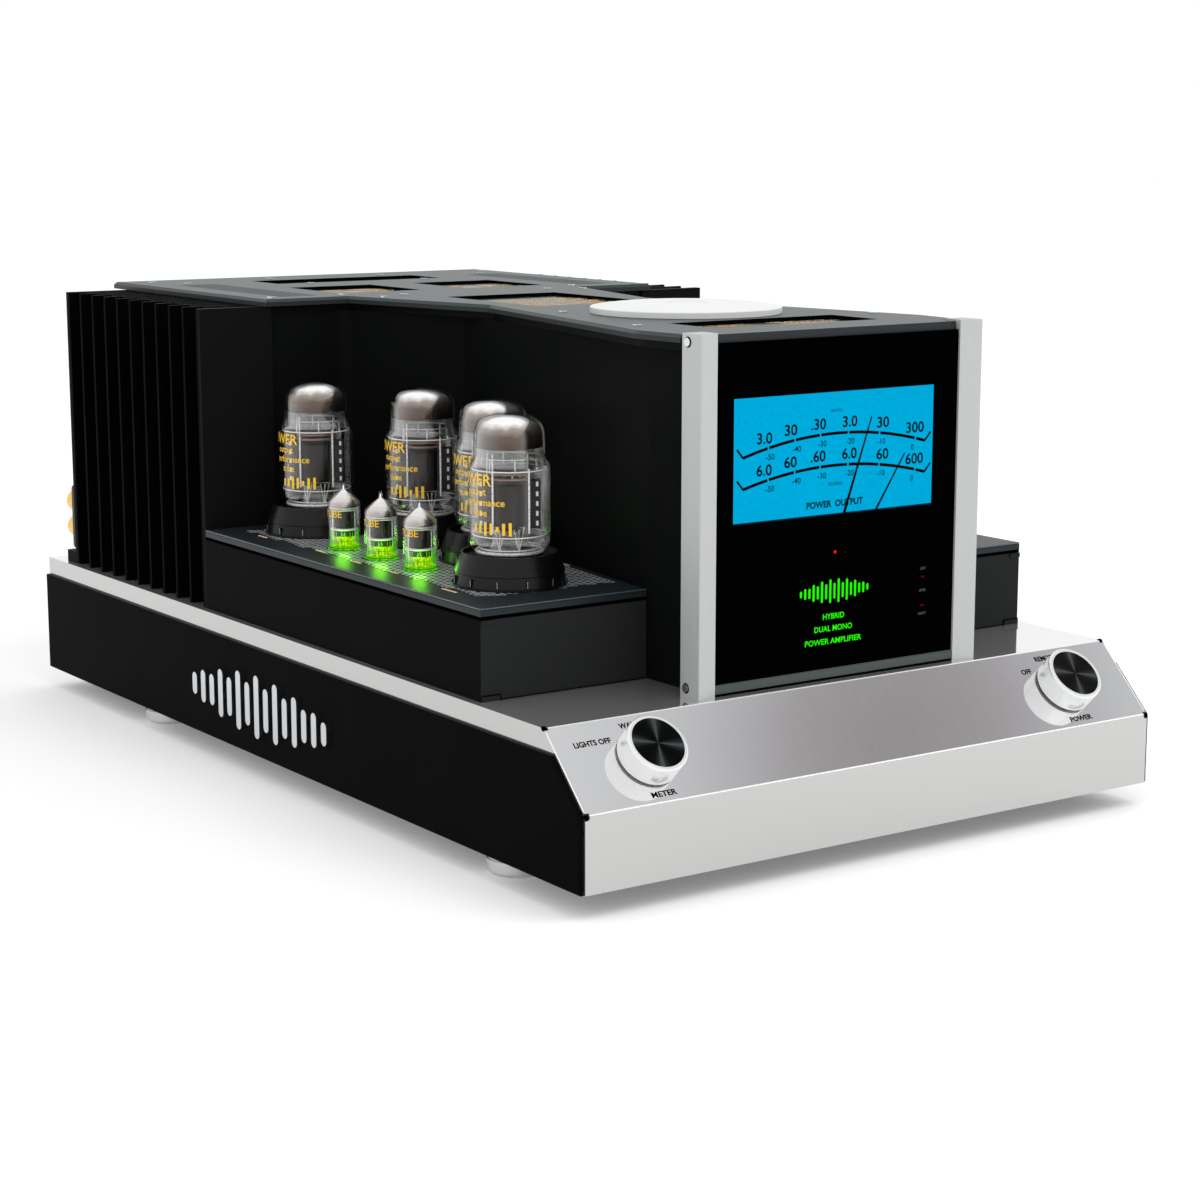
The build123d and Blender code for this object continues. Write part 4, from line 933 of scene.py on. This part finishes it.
DECK_OUTER, DECK_INNER, DECK_NEAR, DECK_FAR = 216.8, 97, 117.6, 482
DECK_JOINT = 154.0 * MM  # where the deck's plate meets its box
BAR_SIDE, BAR_SCREW_AT, BAR_SCREWS = 110.05, 58.5, (109.5, 315.6)
edge_highlights, seams_and_shade_lines = Shape(), Shape()
for side in (-1, 1):
    outer, inner = side * DECK_OUTER * MM, side * DECK_INNER * MM
    near, far = back(DECK_NEAR), back(DECK_FAR)
    # Painted highlights: lighter rods along each deck plate's front and outer edges, where its chamfer
    # catches the light
    corners = [(inner, near), (outer, near), (outer, far)]
    for start, end in zip(corners, corners[1:]):
        edge_highlights.rod((*start, DECK_Z - 0.35 * MM), (*end, DECK_Z - 0.35 * MM), 0.42 * MM)
    # The deck's joint in front and at the side, then the small step, and a dark line of painted shadow at
    # its foot
    for centre_x, y, z, size in (
        ((outer + inner) / 2, 117.5, DECK_JOINT, (119.6, 0.5, 2.0)),
        (side * 216.7 * MM, 300, DECK_JOINT, (0.5, 364, 2.0)),
        (side * 210.4 * MM, 116.55, 107.2 * MM, (13.4, 0.3, 0.6)),
        (side * 203.8 * MM, 116.55, 105.2 * MM, (0.6, 0.3, 3.4)),
        ((outer + inner) / 2, 117.2, 103.9 * MM, (119.6, 0.3, 0.6)),
    ):
        seams_and_shade_lines.box((centre_x, back(y), z), tuple(length * MM for length in size))
    for end_y, level in ((FRONT, fold_level), (slope_top, top_level)):
        y, z = end_y + 1.2 * MM, level - 1.2 * MM
        seams_and_shade_lines.rod((side * (half_width - 1.9 * MM), y, z), (side * half_width, y, z), 1.9 * MM, 0, 20)
    for screw in BAR_SCREWS:
        circles = []
        for grow in (2.6, 3.3):
            for k in range(24):
                angle = math.pi * k / 12
                circles.append((
                    side * BAR_SIDE * MM, back(BAR_SCREW_AT) + grow * MM * math.cos(angle),
                    screw * MM + grow * MM * math.sin(angle),
                ))
        seams_and_shade_lines.add(circles, [(k, (k + 1) % 24, 24 + (k + 1) % 24, 24 + k) for k in range(24)])
# A dark line of painted shade along the foot of the trim strip
seams_and_shade_lines.box((0, back(49.9), 104.3 * MM), (189 * MM, 0.3 * MM, 1.4 * MM))
DISC_AT = 209  # mm behind the front face
# A grey ring on the disc's crown: painted shade, where the rim of its dimple shows as a thin line
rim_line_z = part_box("top_disc")[1].z - 0.33 * MM
mark = Shape()
mark.lathe([(13.1 * MM, rim_line_z), (12.4 * MM, rim_line_z)], 0, 64, (0, back(DISC_AT), 0))
mark.build("disc_rim_shade_line", [FOOT], slot="disc_metal")
edge_highlights.build("deck_edge_highlights", [DECK_EDGE_HIGHLIGHT], slot="deck_slate")
seams_and_shade_lines.build("dark_seams_and_shade_lines", [SEAM_AND_SHADE], slot="deck_black")

# ------------------------------------------------------------------ gold artwork in the windows

# Each window's middle, from the middle and behind the front face, and its size across and along
WINDOWS = [(0, 116, 130, 47), (0, 375, 92, 118), (-54, 554, 70, 78), (54, 554, 70, 78), (0, 664, 146, 45)]
LINER, LINER_IN = 0.16 * MM, 0.09
plate_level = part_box("top_plate")[1].z
pane_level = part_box("top_windows")[1].z
liner_tall = plate_level - pane_level - 0.1 * MM
liner_z = pane_level + liner_tall / 2
liners = Shape()
for x, y, across, along in WINDOWS:
    for end in (-1, 1):
        line_y = back(y + end * (along / 2 - LINER_IN))
        line_x = (x + end * (across / 2 - LINER_IN)) * MM
        liners.box((x * MM, line_y, liner_z), (across * MM, LINER, liner_tall))
        liners.box((line_x, back(y), liner_z), (LINER, along * MM, liner_tall))
liners.build("window_liners", [PANE], slot="window_glass")

random.seed(7)
art_z = pane_level + 0.06 * MM
art = Shape()


def on_pane(u, v):
    """A point just above the panes."""
    return (u, v, art_z)


def coil(x, y, turns, size):
    """A row of round loops, as a winding is drawn in a diagram."""
    points = []
    for step in range(turns * 16 + 1):
        angle = math.pi * 2 * step / 16
        points.append((
            (x + size * (step / 16 * 0.8) + size * 0.5 * math.cos(angle)) * MM,
            back(y + size * 0.5 * math.sin(angle)),
        ))
    art.ribbon(points, 0.42 * MM, on_pane)


def zigzag(x, y, length):
    """Four sharp waves, as a resistor is drawn."""
    points = [((x + length * t / 8) * MM, back(y + (1.6 if t % 2 else -1.6))) for t in range(9)]
    art.ribbon(points, 0.4 * MM, on_pane)


def plain_line(x, y, length):
    """A straight stroke, as a wire is drawn."""
    art.ribbon([(x * MM, back(y)), ((x + length) * MM, back(y))], 0.6 * MM, on_pane)


# Rows of them over the front two thirds of each window, with a gap just left of its middle
for x, y, across, along in WINDOWS[:4]:
    rows = max(4, int(along / 6.5))
    for row in range(rows):
        line_y = y - along * 0.46 + along * 0.68 * row / (rows - 1)
        place = x - across * 0.44
        while place < x + across * 0.36:
            kind = random.random()
            length = random.uniform(5, 14)
            in_gap = abs(place - x + across * 0.06) < across * 0.07
            if in_gap:
                place += length
                continue
            if kind < 0.4:
                coil(place, line_y, 3, random.uniform(3, 4.6))
            elif kind < 0.75:
                zigzag(place, line_y, length)
            else:
                plain_line(place, line_y, length)
            place += length + random.uniform(0.5, 2)
art.build("window_artwork", [GOLD_ART], slot="window_glass")

# ------------------------------------------------------------------ stage, light and camera

floor_mesh = bpy.data.meshes.new("floor")
REACH = 12.0
corners = [(-REACH, -REACH, 0), (REACH, -REACH, 0), (REACH, REACH, 0), (-REACH, REACH, 0)]
floor_mesh.from_pydata(corners, [], [(0, 1, 2, 3)])
floor = bpy.data.objects.new("floor", floor_mesh)
floor.location = (0, 0, -0.5 * MM)
bpy.context.scene.collection.objects.link(floor)
floor_paint, _, floor_shader = new_material("pale_floor", (0.9, 0.9, 0.9), 0.0, 0.7)
floor_shader.inputs["Specular IOR Level"].default_value = 0.0
floor_shader.inputs["Emission Color"].default_value = (1.0, 1.0, 1.0, 1.0)
floor_shader.inputs["Emission Strength"].default_value = 0.16
floor_mesh.materials.append(floor_paint)

# A white studio with one grey patch, high on the right, which the sloping panel mirrors
PATCH = (0.645, -0.234, 0.7275)
world = bpy.data.worlds.new("studio")
bpy.context.scene.world = world
world.use_nodes = True
sky = world.node_tree
direction = sky.nodes.new("ShaderNodeTexCoord")
apart = sky.nodes.new("ShaderNodeVectorMath")
apart.operation = "DISTANCE"
apart.inputs[1].default_value = PATCH
sky.links.new(direction.outputs["Generated"], apart.inputs[0])
shade = ramp(sky, apart.outputs["Value"], [
    (0.0, (0.285, 0.27, 0.28)), (0.04, (0.34, 0.325, 0.335)), (0.09, (0.55, 0.56, 0.57)),
    (0.25, (0.85, 0.85, 0.85)), (0.5, (1.0, 1.0, 1.0)),
])
sky.links.new(shade, sky.nodes["Background"].inputs["Color"])
sky.nodes["Background"].inputs["Strength"].default_value = 1.0


def softbox(name, place, aim, size, energy):
    """A rectangular lamp that lights the object but shows in no reflection."""
    lamp = bpy.data.lights.new(name, "AREA")
    lamp.shape = "RECTANGLE"
    lamp.size, lamp.size_y = size
    lamp.energy = energy
    holder = bpy.data.objects.new(name, lamp)
    bpy.context.scene.collection.objects.link(holder)
    holder.location = place
    holder.rotation_mode = "QUATERNION"
    holder.rotation_quaternion = (Vector(aim) - Vector(place)).to_track_quat("-Z", "Y")
    holder.visible_glossy = False


softbox("key_light", (0.2, -1.6, 2.6), (0, 0, 0.1), (1.8, 1.4), 16)
softbox("fill_light", (1.8, -1.6, 1.6), (0, 0, 0.1), (1.2, 1.2), 8)

# Solved from the picture's straight edges, with the chassis's width known
AZIMUTH, ELEVATION = math.radians(-34.628), math.radians(10.504)
CAMERA_AT = (-0.9904, -1.50264, 0.4366)
camera_data = bpy.data.cameras.new("camera")
camera_data.lens = 75.98
camera_data.sensor_width = 36
camera_data.clip_start, camera_data.clip_end = 0.01, 60
camera = bpy.data.objects.new("camera", camera_data)
bpy.context.scene.collection.objects.link(camera)
towards_camera = Vector((
    math.sin(AZIMUTH) * math.cos(ELEVATION), -math.cos(AZIMUTH) * math.cos(ELEVATION), math.sin(ELEVATION)
))
camera.location = CAMERA_AT
camera.rotation_mode = "QUATERNION"
camera.rotation_quaternion = (-towards_camera).to_track_quat("-Z", "Y")
bpy.context.scene.camera = camera
bpy.context.scene.view_settings.view_transform = "Standard"
bpy.context.scene.view_settings.look = "None"
